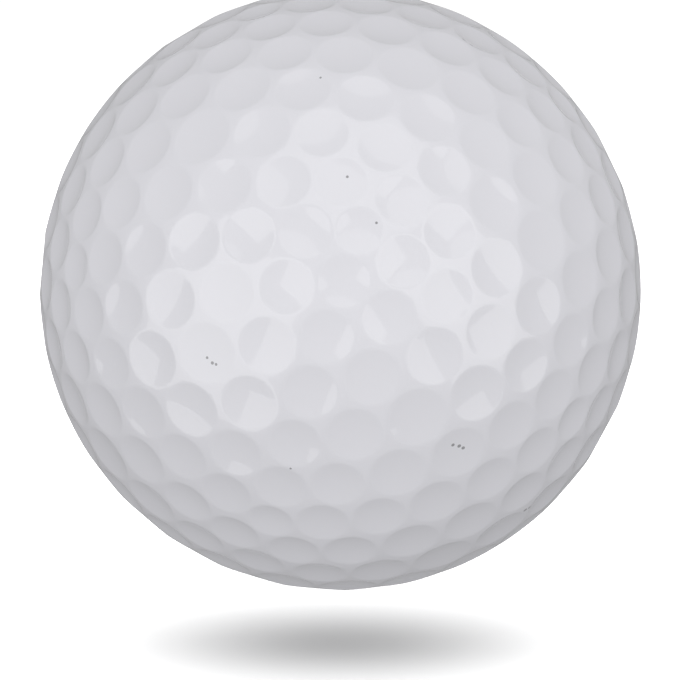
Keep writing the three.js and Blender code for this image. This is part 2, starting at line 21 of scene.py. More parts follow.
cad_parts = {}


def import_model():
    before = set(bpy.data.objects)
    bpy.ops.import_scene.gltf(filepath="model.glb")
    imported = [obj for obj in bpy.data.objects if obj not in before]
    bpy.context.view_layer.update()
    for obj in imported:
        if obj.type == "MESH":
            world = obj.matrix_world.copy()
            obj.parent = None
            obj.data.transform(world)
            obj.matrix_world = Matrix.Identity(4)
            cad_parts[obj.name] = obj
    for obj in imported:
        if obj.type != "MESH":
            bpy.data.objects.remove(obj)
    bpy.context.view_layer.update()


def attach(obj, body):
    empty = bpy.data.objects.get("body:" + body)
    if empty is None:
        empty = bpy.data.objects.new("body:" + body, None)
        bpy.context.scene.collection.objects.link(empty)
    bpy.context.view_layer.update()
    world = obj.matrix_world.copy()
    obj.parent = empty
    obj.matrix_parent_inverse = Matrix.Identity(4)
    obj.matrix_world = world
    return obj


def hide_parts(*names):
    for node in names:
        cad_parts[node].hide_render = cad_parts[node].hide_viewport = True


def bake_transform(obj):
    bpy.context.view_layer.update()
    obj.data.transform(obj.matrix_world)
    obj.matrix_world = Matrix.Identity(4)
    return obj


Array = np.ndarray
Colour = tuple[float, float, float, float]
Pair = tuple[float, float]

MM = 0.001
BALL_RADIUS = 21.335
PHOTO_PIXELS = 680
WHITE: Colour = (1.0, 1.0, 1.0, 1.0)

# Steps round a circle: most pieces, thin pins, holes
SIDES = 96
PIN_SIDES = 40
HOLE_SIDES = 32

log = logging.getLogger("golf_ball")


class Side(Enum):
    """The two halves and the two boards: above the ball's equator and below it."""

    UPPER = "upper"
    LOWER = "lower"

    @property
    def sign(self) -> int:
        """Plus one above the equator, minus one below it."""
        return 1 if self is Side.UPPER else -1


class Grain(Enum):
    """How the fine marks of a material run."""

    MOTTLED = "mottled"
    DRAWN = "drawn"
    TURNED = "turned"


class Body(Enum):
    """What a piece moves with."""

    BALL = "ball"
    SPRING = "spring"


class Mixed(Enum):
    """What a Mix node mixes: the data type, and the numbers of its two inputs and its output for that."""

    COLOUR = ("RGBA", 6, 7, 2)
    VECTOR = ("VECTOR", 4, 5, 1)


# Shader graphs


class Signal:
    """One value of a shader graph. Each operator on it adds a Math node."""

    def __init__(self, graph: "ShaderGraph", socket: Optional[NodeSocket]) -> None:
        """Holds an output socket and the graph that it belongs to."""
        self.graph = graph
        self.socket = socket

    def _math(self, operation: str, first: "Value", second: "Value") -> "Signal":
        """Adds a Math node for an operation on two values."""
        return self.graph.add("Math", {0: first, 1: second}, operation=operation)

    def __add__(self, other: "Value") -> "Signal":
        """The sum of two values."""
        return self._math("ADD", self, other)

    def __sub__(self, other: "Value") -> "Signal":
        """The difference of two values."""
        return self._math("SUBTRACT", self, other)

    def __rsub__(self, other: "Value") -> "Signal":
        """The difference, with a plain number first."""
        return self._math("SUBTRACT", other, self)

    def __mul__(self, other: "Value") -> "Signal":
        """The product of two values."""
        return self._math("MULTIPLY", self, other)

    def __lt__(self, other: "Value") -> "Signal":
        """One where this value is the lesser, and zero elsewhere."""
        return self._math("LESS_THAN", self, other)

    def __gt__(self, other: "Value") -> "Signal":
        """One where this value is the greater, and zero elsewhere."""
        return self._math("GREATER_THAN", self, other)

    __radd__ = __add__
    __rmul__ = __mul__

    def least(self, other: "Value") -> "Signal":
        """The lesser of two values."""
        return self._math("MINIMUM", self, other)

    def between(self, ends: Pair) -> "Signal":
        """Goes from the first end to the second as this value goes from 0 to 1."""
        return ends[0] + self * (ends[1] - ends[0])


Value = Union[Signal, float, Sequence[float]]


class ShaderGraph:
    """The node tree of one material or of the world."""

    def __init__(self, tree: NodeTree) -> None:
        """Starts from an empty tree."""
        self.tree = tree
        tree.nodes.clear()

    @classmethod
    def of_material(cls, name: str) -> tuple[Material, "ShaderGraph"]:
        """Makes a material with an empty node tree.

        Args:
            name: The material's name.

        Returns:
            The material and its graph.
        """
        material = bpy.data.materials.new(name)
        material.use_nodes = True
        return material, cls(material.node_tree)

    def add(
        self,
        kind: str,
        inputs: Optional[Mapping[Union[int, str], "Value"]] = None,
        output: Union[int, str] = 0,
        **settings: object,
    ) -> Signal:
        """Adds a node: its settings first, then the values or links of its sockets.

        Args:
            kind: The node's type, less the ShaderNode that every type starts with.
            inputs: Values or signals by socket name or number.
            output: The output socket to hand back.
            settings: Properties of the node.

        Returns:
            The signal of that output socket.
        """
        node = self.tree.nodes.new(f"ShaderNode{kind}")
        for key, value in settings.items():
            setattr(node, key, value)
        for key, value in (inputs or {}).items():
            if isinstance(value, Signal):
                self.tree.links.new(value.socket, node.inputs[key])
            else:
                node.inputs[key].default_value = value
        return Signal(self, node.outputs[output] if len(node.outputs) else None)

    def place(self) -> Signal:
        """The place on the piece, in metres."""
        return self.add("TexCoord", output="Object")

    def share(self) -> Signal:
        """The number from 0 to 1 that a skin holds at each point."""
        return self.add("Attribute", output="Fac", attribute_name="share")

    def vectors(self, operation: str, *vectors: "Value", output: str = "Vector") -> Signal:
        """Adds a Vector Math node for an operation on one or two vectors."""
        return self.add("VectorMath", dict(enumerate(vectors)), output, operation=operation)

    def noise(self, at: Signal, scale: float, detail: float = 2.0) -> Signal:
        """Smooth noise from 0 to 1 at a place, in waves to a metre, with a number of finer octaves."""
        return self.add("TexNoise", {"Vector": at, "Scale": scale, "Detail": detail}, "Fac")

    def mix(self, factor: "Value", first: "Value", second: "Value", kind: Mixed = Mixed.COLOUR) -> Signal:
        """A colour or vector between two: the first where the factor is 0, the second where it is 1."""
        data_type, a, b, result = kind.value
        return self.add("Mix", {0: factor, a: first, b: second}, result, data_type=data_type)

    def tinted(self, share: Signal, colour: Colour, tones: Pair) -> Signal:
        """A colour that goes from one tone of itself to another with a share."""
        return self.mix(share, *(shaded(colour, tone) for tone in tones))

    def step(self, value: Signal, ends: Pair) -> Signal:
        """A smooth step from 0 at the first end to 1 at the second."""
        inputs = {"Value": value, "From Min": ends[0], "From Max": ends[1]}
        return self.add("MapRange", inputs, interpolation_type="SMOOTHSTEP")

    def from_axis(self, place: Signal, x: float = 0.0, y: float = 0.0) -> Signal:
        """How far a place is from the upright line through x, y."""
        offset = self.vectors("SUBTRACT", place, (x, y, 0.0))
        return self.vectors("LENGTH", self.vectors("MULTIPLY", offset, (1.0, 1.0, 0.0)), output="Value")

    def bump(self, height: Signal, depth: float, onto: Optional[Signal] = None) -> Signal:
        """A normal that follows a height, a number of metres deep, on the surface's own or a given normal."""
        inputs = {"Height": height, "Distance": depth, "Strength": 1.0}
        return self.add("Bump", inputs if onto is None else {**inputs, "Normal": onto})

    def rounded_normal(self, place: Signal, share: float) -> Signal:
        """A normal between the surface's own and that of a ball round the origin.

        Args:
            place: The place on the piece.
            share: The share of the surface's own normal.

        Returns:
            The normal, on the side of the wall that the surface's own is on.
        """
        own = self.add("NewGeometry", output="Normal")
        turn = {"vector_type": "NORMAL", "convert_from": "OBJECT", "convert_to": "WORLD"}
        outward = self.vectors("NORMALIZE", self.add("VectorTransform", {"Vector": place}, **turn))
        outside = self.vectors("DOT_PRODUCT", own, outward, output="Value") > 0.0
        ball = self.add("VectorMath", {0: outward, "Scale": outside.between((-1.0, 1.0))}, operation="SCALE")
        return self.mix(share, ball, own, Mixed.VECTOR)

    def close(self, shader: Signal) -> None:
        """Ends a material in a shader."""
        self.add("OutputMaterial", {"Surface": shader})


def shaded(colour: Colour, share: float) -> Colour:
    """A colour made darker or lighter by a share."""
    return (*(channel * share for channel in colour[:3]), 1.0)


# Finishes


@dataclass(frozen=True)
class Finish:
    """The name of a material, and what feeds its shader."""

    name: str

    def inputs(self, graph: ShaderGraph) -> dict[str, Value]:
        """The inputs of the shader, as nodes of the material's graph or plain values."""
        raise NotImplementedError

    def material(self) -> Material:
        """Makes the material, or finds it if it is made.

        Returns:
            The material.
        """
        material = bpy.data.materials.get(self.name)
        if material is None:
            material, graph = ShaderGraph.of_material(self.name)
            graph.close(graph.add("BsdfPrincipled", self.inputs(graph)))
        return material


@dataclass(frozen=True)
class CoverFinish(Finish):
    """White ionomer under a clear coat: even, slightly cool, with a trace of orange peel and a few specks.

    Light spreads inside the white, so it shades only a share as sharply as the dimples' form. The coat
    follows the form. The marks are small dark nicks: bearing and rise in degrees, radius in millimetres.
    """

    name: str = "cover_white_coat"
    colour: Colour = (0.741, 0.738, 0.776, 1.0)
    tones: Pair = (0.98, 1.02)
    cloud_scale: float = 90.0
    cloud_detail: float = 4.0
    speck_scale: float = 300.0
    speck_size: float = 0.03
    speck_share: float = 0.06
    speck_colour: Colour = (0.30, 0.30, 0.31, 1.0)
    roughness: Pair = (0.34, 0.42)
    coat_roughness: float = 0.02
    peel_scale: float = 1400.0
    peel_detail: float = 1.0
    peel_depth: float = 0.3e-6
    sharpness: float = 0.55
    marks: tuple[tuple[float, float, float], ...] = (
        (23.4, -21.8, 0.13), (24.9, -22.2, 0.14), (25.9, -22.7, 0.13), (-25.9, -4.2, 0.1),
        (-24.8, -5.1, 0.12), (-24.0, -5.3, 0.1), (57.8, 61.3, 0.16), (57.7, 59.4, 0.14),
        (54.0, -41.3, 0.16), (55.2, -40.8, 0.13), (1.5, 31.2, 0.1), (7.2, 22.0, 0.09),
        (-10.3, -25.8, 0.08), (-6.2, 53.2, 0.08),
    )

    def marked(self, graph: ShaderGraph, place: Signal) -> Signal:
        """Finds the nicks, as small rounds about directions from the ball's centre.

        Args:
            graph: The material's graph.
            place: The place on the cover.

        Returns:
            One on a nick and zero elsewhere.
        """
        outward = graph.vectors("NORMALIZE", place)
        inside = 0.0
        for bearing, rise, radius in self.marks:
            turn, tilt = math.radians(bearing), math.radians(rise)
            way = (math.sin(turn) * math.cos(tilt), -math.cos(turn) * math.cos(tilt), math.sin(tilt))
            away = graph.vectors("DISTANCE", outward, way, output="Value")
            inside = (away < radius / BALL_RADIUS) + inside
        return inside

    def inputs(self, graph: ShaderGraph) -> dict[str, Value]:
        """Clouds of white with specks and nicks, under the coat.

        Args:
            graph: The material's graph.

        Returns:
            The inputs of its shader.
        """
        place = graph.place()
        cloud = graph.noise(place, self.cloud_scale, self.cloud_detail)
        cells = {"Vector": place, "Scale": self.speck_scale}
        apart = graph.add("TexVoronoi", cells, "Distance")
        lot = graph.add("SeparateColor", {"Color": graph.add("TexVoronoi", cells, "Color")}, "Red")
        speck = (apart < self.speck_size) * (lot < self.speck_share) + self.marked(graph, place)
        peel = graph.noise(place, self.peel_scale, self.peel_detail)
        return {
            "Base Color": graph.mix(speck, graph.tinted(cloud, self.colour, self.tones), self.speck_colour),
            "Roughness": cloud.between(self.roughness),
            "Normal": graph.bump(peel, self.peel_depth, graph.rounded_normal(place, self.sharpness)),
            "Coat Weight": 1.0,
            "Coat Roughness": self.coat_roughness,
        }


@dataclass(frozen=True)
class GrainedFinish(Finish):
    """A plain material whose grain shows in its tint, its gloss and its relief."""

    colour: Colour
    roughness: Pair
    grain: Grain = Grain.MOTTLED
    tones: Pair = (0.92, 1.06)
    scale: float = 7000.0
    detail: float = 2.0
    depth: float = 1.5e-6
    drawn_share: float = 0.04

    def along(self, graph: ShaderGraph) -> Signal:
        """Finds where the grain is read: stretched along Z where drawn, round Z where turned.

        Args:
            graph: The material's graph.

        Returns:
            The place.
        """
        place = graph.place()
        if self.grain is Grain.DRAWN:
            return graph.vectors("MULTIPLY", place, (1.0, 1.0, self.drawn_share))
        if self.grain is Grain.TURNED:
            height = graph.add("SeparateXYZ", {"Vector": place}, "Z")
            return graph.add("CombineXYZ", {"X": graph.from_axis(place), "Y": height})
        return place

    def relief(self, graph: ShaderGraph, grain: Signal) -> Signal:
        """The height that the relief follows, from 0 to 1."""
        return grain

    def inputs(self, graph: ShaderGraph) -> dict[str, Value]:
        """The grain in tint, gloss and relief.

        Args:
            graph: The material's graph.

        Returns:
            The inputs of its shader.
        """
        grain = graph.noise(self.along(graph), self.scale, self.detail)
        return {
            "Base Color": graph.tinted(grain, self.colour, self.tones),
            "Roughness": grain.between(self.roughness),
            "Normal": graph.bump(self.relief(graph, grain), self.depth),
        }


@dataclass(frozen=True)
class MetalFinish(GrainedFinish):
    """Bare metal whose fine marks run the way that it was made."""

    def inputs(self, graph: ShaderGraph) -> dict[str, Value]:
        """The marks, on metal."""
        return {**super().inputs(graph), "Metallic": 1.0}


@dataclass(frozen=True)
class ClearFinish(GrainedFinish):
    """Clear moulded resin with a slight haze and faint flow marks."""

    tones: Pair = (0.97, 1.0)
    scale: float = 160.0
    detail: float = 3.0
    depth: float = 6e-6
    index: float = 1.5

    def inputs(self, graph: ShaderGraph) -> dict[str, Value]:
        """The flow marks, in a clear material."""
        return {**super().inputs(graph), "Transmission Weight": 1.0, "IOR": self.index}


@dataclass(frozen=True)
class MouldedFinish(GrainedFinish):
    """Opaque moulded plastic in faint patches, with a fine matt texture."""

    tones: Pair = (0.85, 1.15)
    scale: float = 750.0
    detail: float = 3.0
    depth: float = 4e-6
    matt_scale: float = 9000.0

    def relief(self, graph: ShaderGraph, grain: Signal) -> Signal:
        """The height of the matt texture, which is finer than the patches."""
        return graph.noise(graph.place(), self.matt_scale)


@dataclass(frozen=True)
class TwoToneFinish(Finish):
    """A body and a second material in one piece, parted where the skin's share crosses a half.

    The roughness is that of the body and that of the second material.
    """

    body: Colour
    second: Colour
    roughness: Pair
    metallic: float
    coat: float = 0.0
    parting: float = 0.5
    dark_tone: float = 0.5
    clean: Pair = (0.45, 0.55)
    grain_scale: float = 5000.0
    grain_roughness: float = 0.06

    def inputs(self, graph: ShaderGraph) -> dict[str, Value]:
        """The two colours, dulled by a dark tone of the body, with a fine grain in tint and gloss.

        Args:
            graph: The material's graph.

        Returns:
            The inputs of its shader.
        """
        part = graph.share() > self.parting
        grain = graph.noise(graph.place(), self.grain_scale)
        plain = graph.mix(part, self.body, self.second)
        return {
            "Base Color": graph.mix(grain.between(self.clean), shaded(self.body, self.dark_tone), plain),
            "Metallic": part * self.metallic,
            "Roughness": part.between(self.roughness) + grain * self.grain_roughness,
            "Coat Weight": part * self.coat,
        }


@dataclass(frozen=True)
class LaminateFinish(Finish):
    """A circuit board: solder mask over woven glass, with a tinned ring round each pin hole.

    The roughness is that of the mask and that of the tin.
    """

    mask: Colour
    tin: Colour
    pins: tuple[Pair, ...]
    pad_radius: float
    roughness: Pair = (0.45, 0.3)
    tones: Pair = (0.85, 1.15)
    weave_scale: float = 2600.0
    weave_depth: float = 3e-6
    thread_share: float = 0.35

    def inputs(self, graph: ShaderGraph) -> dict[str, Value]:
        """Threads both ways under the mask, and bare tin near a pin.

        Args:
            graph: The material's graph.

        Returns:
            The inputs of its shader.
        """
        place = graph.place()
        ways = ((1.0, self.thread_share, 1.0), (self.thread_share, 1.0, 1.0))
        warp, weft = (graph.noise(graph.vectors("MULTIPLY", place, way), self.weave_scale) for way in ways)
        weave = (warp + weft) * 0.5
        away = graph.from_axis(place, *self.pins[0])
        for pin in self.pins[1:]:
            away = away.least(graph.from_axis(place, *pin))
        pad = away < self.pad_radius
        return {
            "Base Color": graph.mix(pad, graph.tinted(weave, self.mask, self.tones), self.tin),
            "Metallic": pad,
            "Roughness": pad.between(self.roughness),
            "Normal": graph.bump(weave, self.weave_depth),
        }


# Surfaces


@dataclass
class Skin:
    """A closed surface as arrays, in millimetres.

    Fields:
        points: One row of x, y, z for each point.
        triangles: One row of three point numbers for each face, turning left seen from outside.
        normals: A normal for each corner of each triangle, or none to take them from the faces.
        share: A number for each point that a finish may read, or none.
    """

    points: Array
    triangles: Array
    normals: Optional[Array] = None
    share: Optional[Array] = None

    def moved(self, turn: Array, to: Sequence[float]) -> "Skin":
        """This skin turned by a matrix and then moved."""
        return replace(self, points=self.points @ turn.T + np.asarray(to))


class Weld(NamedTuple):
    """A surface after its doubled points are merged: points, triangles, and where the old ones went.

    The number gives each old point's new place, and kept tells which of the old triangles are left.
    """

    points: Array
    triangles: Array
    number: Array
    kept: Array


def unit(vectors: Array) -> Array:
    """Vectors of length one, along the last axis."""
    return vectors / np.linalg.norm(vectors, axis=-1, keepdims=True)


def spin(degrees: float) -> Array:
    """The matrix that turns about Z."""
    c, s = math.cos(math.radians(degrees)), math.sin(math.radians(degrees))
    return np.array([[c, -s, 0.0], [s, c, 0.0], [0.0, 0.0, 1.0]])


def bearings(sides: int) -> Array:
    """Evenly spaced angles once round, from zero."""
    return 2 * np.pi * np.arange(sides) / sides


def polar(radius: Union[float, Array], bearing: Array, *height: Union[float, Array]) -> Array:
    """Points at a radius, a bearing and, if it is given, a height: r cos(a), r sin(a), z."""
    x, y = radius * np.cos(bearing), radius * np.sin(bearing)
    return np.stack(np.broadcast_arrays(x, y, *height), -1)


def grid_triangles(rows: int, columns: int) -> Array:
    """Triangles of a grid of points that are numbered row by row, each row's end joined to its start.

    Args:
        rows: How many rows.
        columns: How many points in a row.

    Returns:
        Two triangles for each cell of the grid.
    """
    row, column = np.meshgrid(np.arange(rows - 1), np.arange(columns), indexing="ij")
    a, b = row * columns + column, row * columns + (column + 1) % columns
    c, d = a + columns, b + columns
    return np.concatenate([np.stack(corners, -1).reshape(-1, 3) for corners in ([a, b, d], [a, d, c])])


def weld(points: Array, triangles: Array, grain: float = 1e-5, shift: float = 0.137) -> Weld:
    """Merges points that coincide and drops triangles that have no area left.

    Args:
        points: The points, some of them doubled.
        triangles: Triangles over those points.
        grain: Points closer than this are one.
        shift: A share of the grain that keeps round numbers off the edge between two grains.

    Returns:
        The merged surface.
    """
    keys = np.round(points / grain + shift).astype(np.int64)
    _, first, number = np.unique(keys, axis=0, return_index=True, return_inverse=True)
    number = number.reshape(-1)
    merged = number[triangles]
    kept = (merged != np.roll(merged, -1, axis=1)).all(axis=1)
    return Weld(points[first], merged[kept], number, kept)


def sewn(points: Array, triangles: Array, share: Optional[Array] = None) -> Skin:
    """Closes a surface's seams and poles and turns its faces outwards.

    Args:
        points: The points, with seams and poles doubled.
        triangles: Triangles over those points, all turning the same way.
        share: A number for each point, or none.

    Returns:
        The closed skin.
    """
    whole = weld(points, triangles)
    volume = np.sum(np.linalg.det(whole.points[whole.triangles]))
    faces = whole.triangles if volume > 0 else whole.triangles[:, ::-1]
    merged = None
    if share is not None:
        merged = np.zeros(len(whole.points))
        merged[whole.number] = share
    return Skin(whole.points, faces, share=merged)


def united(skins: Sequence[Skin]) -> Skin:
    """Makes several closed skins one piece.

    Args:
        skins: The skins.

    Returns:
        One skin of them all, its share zero where a skin has none.
    """
    starts = np.cumsum([0, *(len(skin.points) for skin in skins)])
    triangles = np.concatenate([skin.triangles + start for skin, start in zip(skins, starts)])
    shares = [np.zeros(len(skin.points)) if skin.share is None else skin.share for skin in skins]
    return Skin(np.concatenate([skin.points for skin in skins]), triangles, share=np.concatenate(shares))


def softened(
    corners: Sequence[Sequence[float]],
    radius: float,
    closed: bool = False,
    steps: int = 5,
    most: float = 0.45,
) -> Array:
    """Rounds the corners of a line in a plane.

    A corner c becomes (1 - t)^2 a + 2 t (1 - t) c + t^2 b, where a and b lie a set way along its two sides.

    Args:
        corners: One row of two coordinates for each corner.
        radius: How far along its sides a corner is rounded.
        closed: Whether the line's end joins its start. If not, its ends stay as they are.
        steps: Points on each corner.
        most: The most of a side that one corner takes up.

    Returns:
        The rounded line.
    """
    line = np.array(corners, dtype=float)

    def towards(other: Array) -> Array:
        """Points on the way from each corner to another one."""
        length = np.linalg.norm(other - line, axis=1, keepdims=True)
        return (line + (other - line) * np.minimum(radius / length, most))[:, None]

    t = np.linspace(0, 1, steps)[None, :, None]
    before, after = towards(np.roll(line, 1, axis=0)), towards(np.roll(line, -1, axis=0))
    curve = (1 - t) ** 2 * before + 2 * t * (1 - t) * line[:, None] + t**2 * after
    if not closed:
        curve[0], curve[-1] = line[0], line[-1]
    return curve.reshape(-1, 2)


def arc(radius: float, start: float, end: float, steps: int = 40) -> Array:
    """Points of an arc in a turning profile, its angles in degrees up from the equator."""
    angle = np.radians(np.linspace(start, end, steps))
    return radius * np.stack([np.abs(np.cos(angle)), np.sin(angle)], -1)


def revolved(profile: Array, sides: int = SIDES, closed: bool = False) -> Skin:
    """Carries a profile round Z: x = r cos(a), y = r sin(a), z as it is.

    Args:
        profile: One row of radius and height for each point, from the axis back to it, or a loop.
        sides: Steps round the axis.
        closed: Whether the profile is a loop that stays clear of the axis.

    Returns:
        The closed skin.
    """
    line = np.concatenate([profile, profile[:1]]) if closed else profile
    points = polar(line[:, 0, None], bearings(sides), line[:, 1, None])
    return sewn(points.reshape(-1, 3), grid_triangles(len(line), sides))


def lofted(rings: Array, share: Optional[Array] = None) -> Skin:
    """Joins rings of points in order and closes both ends to the middle of the end ring.

    Args:
        rings: Points by ring and by place round the ring.
        share: A number for each ring, or none.

    Returns:
        The closed skin.
    """
    ends = rings[[0, -1]].mean(axis=1, keepdims=True) * np.ones((1, rings.shape[1], 1))
    whole = np.concatenate([ends[:1], rings, ends[1:]])
    spread = None if share is None else np.repeat([share[0], *share, share[-1]], rings.shape[1])
    return sewn(whole.reshape(-1, 3), grid_triangles(len(whole), rings.shape[1]), spread)


def plate(outline: Array, holes: Sequence[Array], low: float, high: float) -> Skin:
    """Raises a flat outline with holes along Z: loops at both heights, walls between, and both faces filled.

    Args:
        outline: The outer loop, one row of x, y for each point.
        holes: The loops of the holes.
        low: The height of the lower face.
        high: The height of the upper face.

    Returns:
        The closed skin.
    """
    def turning(loop: Array, left: bool) -> Array:
        """A loop that turns left, or right, as it is walked."""
        area = np.sum(np.cross(loop, np.roll(loop, -1, axis=0)))
        return loop if (area > 0) == left else loop[::-1]

    loops = [turning(outline, True), *(turning(hole, False) for hole in holes)]
    flat = np.concatenate(loops)
    count = len(flat)
    face = np.array(tessellate_polygon([loop.tolist() for loop in loops]))
    a, b, c = (flat[face[:, k]] for k in range(3))
    backwards = np.cross(b - a, c - a) < 0
    face[backwards] = face[backwards][:, ::-1]
    starts = np.cumsum([0, *(len(loop) for loop in loops)])
    ahead = np.concatenate([start + np.roll(np.arange(len(loop)), -1) for loop, start in zip(loops, starts)])
    here = np.arange(count)
    walls = [np.stack([here, ahead, ahead + count], -1), np.stack([here, ahead + count, here + count], -1)]
    points = np.concatenate([np.c_[flat, np.full(count, height)] for height in (low, high)])
    return sewn(points, np.concatenate([face[:, ::-1], face + count, *walls]))


def circle(radius: float, x: float = 0.0, y: float = 0.0, sides: int = SIDES) -> Array:
    """A round loop: x + r cos(a), y + r sin(a)."""
    return polar(radius, bearings(sides)) + (x, y)


def squared(sides: int = SIDES, power: float = 14.0) -> Array:
    """How far a rounded square of half width one reaches at each bearing: (|cos|^p + |sin|^p)^(-1/p)."""
    a = bearings(sides)
    return (np.abs(np.cos(a)) ** power + np.abs(np.sin(a)) ** power) ** (-1 / power)


def make_object(name: str, skin: Skin, material: Material, crease: float = 30.0) -> Object:
    """Puts a skin into the scene, in metres.

    Args:
        name: The object's name.
        skin: The surface.
        material: Its material.
        crease: Edges that bend by more degrees than this stay sharp, where the skin gives no normals.

    Returns:
        The new object, at the origin.
    """
    mesh = bpy.data.meshes.new(name)
    mesh.from_pydata(skin.points * MM, [], skin.triangles.tolist())
    mesh.shade_smooth()
    if skin.normals is None:
        mesh.set_sharp_from_angle(angle=math.radians(crease))
    else:
        mesh.normals_split_custom_set(skin.normals.reshape(-1, 3))
    if skin.share is not None:
        share = mesh.attributes.new("share", "FLOAT", "POINT")
        share.data.foreach_set("value", skin.share.astype(np.float32))
    mesh.materials.append(material)
    piece = bpy.data.objects.new(name, mesh)
    bpy.context.scene.collection.objects.link(piece)
    log.info("%s: %d points, %d triangles", name, len(skin.points), len(skin.triangles))
    return piece


def fit(node: str, skin: Skin, finish: Finish) -> Object:
    """Puts a finished skin in the place of a solid of the ball.

    Args:
        node: The solid's name.
        skin: The surface.
        finish: Its finish.

    Returns:
        The new object.
    """
    piece = make_object(f"{node}_skin", skin, finish.material())
    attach(piece, Body.BALL.value)
    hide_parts(node)
    return piece


# Cover


@dataclass(frozen=True)
class Dimples:
    """Where the dimples are.

    Fields:
        centres: The direction of each dimple.
        reaches: The angle from each dimple's centre to its rim.
        upper: Whether each dimple belongs to the upper half of the cover.
        owners: For each corner of each cell, the dimple whose cell it is, sorted by dimple and then bearing.
        corners: The direction of each of those corners, in the middle of the land among three dimples.
    """

    centres: Array
    reaches: Array
    upper: Array
    owners: Array
    corners: Array


@dataclass(frozen=True)
class DimpleLattice:
    """The lattice that the dimples follow: an icosahedron that stands on a corner, its faces cut into rows.

    A dimple at a corner has five neighbours, and any other has six. Past the steep height, up or down, a
    direction counts as near a pole.
    """

    steps: int = 6
    evenness: float = 0.46
    tolerance: float = 1e-4
    corner_sides: int = 5
    other_sides: int = 6
    steep: float = 0.9

    def _corners(self) -> Array:
        """Finds the icosahedron's corners: a pole, a ring of five, and the opposites of both.

        The ring's latitude is the angle whose tangent is a half.

        Returns:
            The direction of each corner.
        """
        latitude = math.atan(0.5)
        ring = polar(math.cos(latitude), bearings(self.corner_sides), math.sin(latitude))
        pole = np.array([[0.0, 0.0, 1.0]])
        return np.concatenate([pole, ring, -ring, -pole])

    def _weight(self, share: Array, edge: float) -> Array:
        """How much a corner counts at a share of the way to it: between even chords and even arcs."""
        return (1 - self.evenness) * share + self.evenness * np.sin(share * edge) / math.sin(edge)

    def centres_and_triangles(self) -> tuple[Array, Array]:
        """Lays out the lattice.

        A dimple's direction is the sum of a face's three corners, each times the weight of its share of the
        steps. The cosine of an icosahedron's edge is one over the root of five.

        Returns:
            The dimples' directions, and the triangles between neighbours, turning left seen from outside.
        """
        corners = self._corners()
        edge = math.acos(1 / math.sqrt(5))
        faces = np.array(list(combinations(range(len(corners)), 3)))
        near = np.einsum("fax,fbx->fab", corners[faces], corners[faces]) > math.cos(edge) - self.tolerance
        faces = faces[near.all(axis=(1, 2))]

        n = self.steps
        i, j = np.meshgrid(np.arange(n + 1), np.arange(n + 1), indexing="ij")
        inside = i + j <= n
        number = np.where(inside, np.cumsum(inside).reshape(i.shape) - 1, -1)
        shares = np.stack([i, j, n - i - j], -1)[inside]
        i, j = i[:n, :n], j[:n, :n]
        standing = np.stack([number[i, j], number[i + 1, j], number[i, j + 1]], -1)[i + j < n]
        hanging = np.stack([number[i + 1, j], number[i + 1, j + 1], number[i, j + 1]], -1)[i + j < n - 1]

        points = unit(np.einsum("pk,fkx->fpx", self._weight(shares / n, edge), corners[faces]))
        offsets = np.arange(len(faces))[:, None, None] * len(shares)
        triangles = (np.concatenate([standing, hanging]) + offsets).reshape(-1, 3)
        whole = weld(points.reshape(-1, 3), triangles, self.tolerance)
        inward = np.linalg.det(whole.points[whole.triangles]) < 0
        whole.triangles[inward] = whole.triangles[inward][:, ::-1]
        return whole.points, whole.triangles


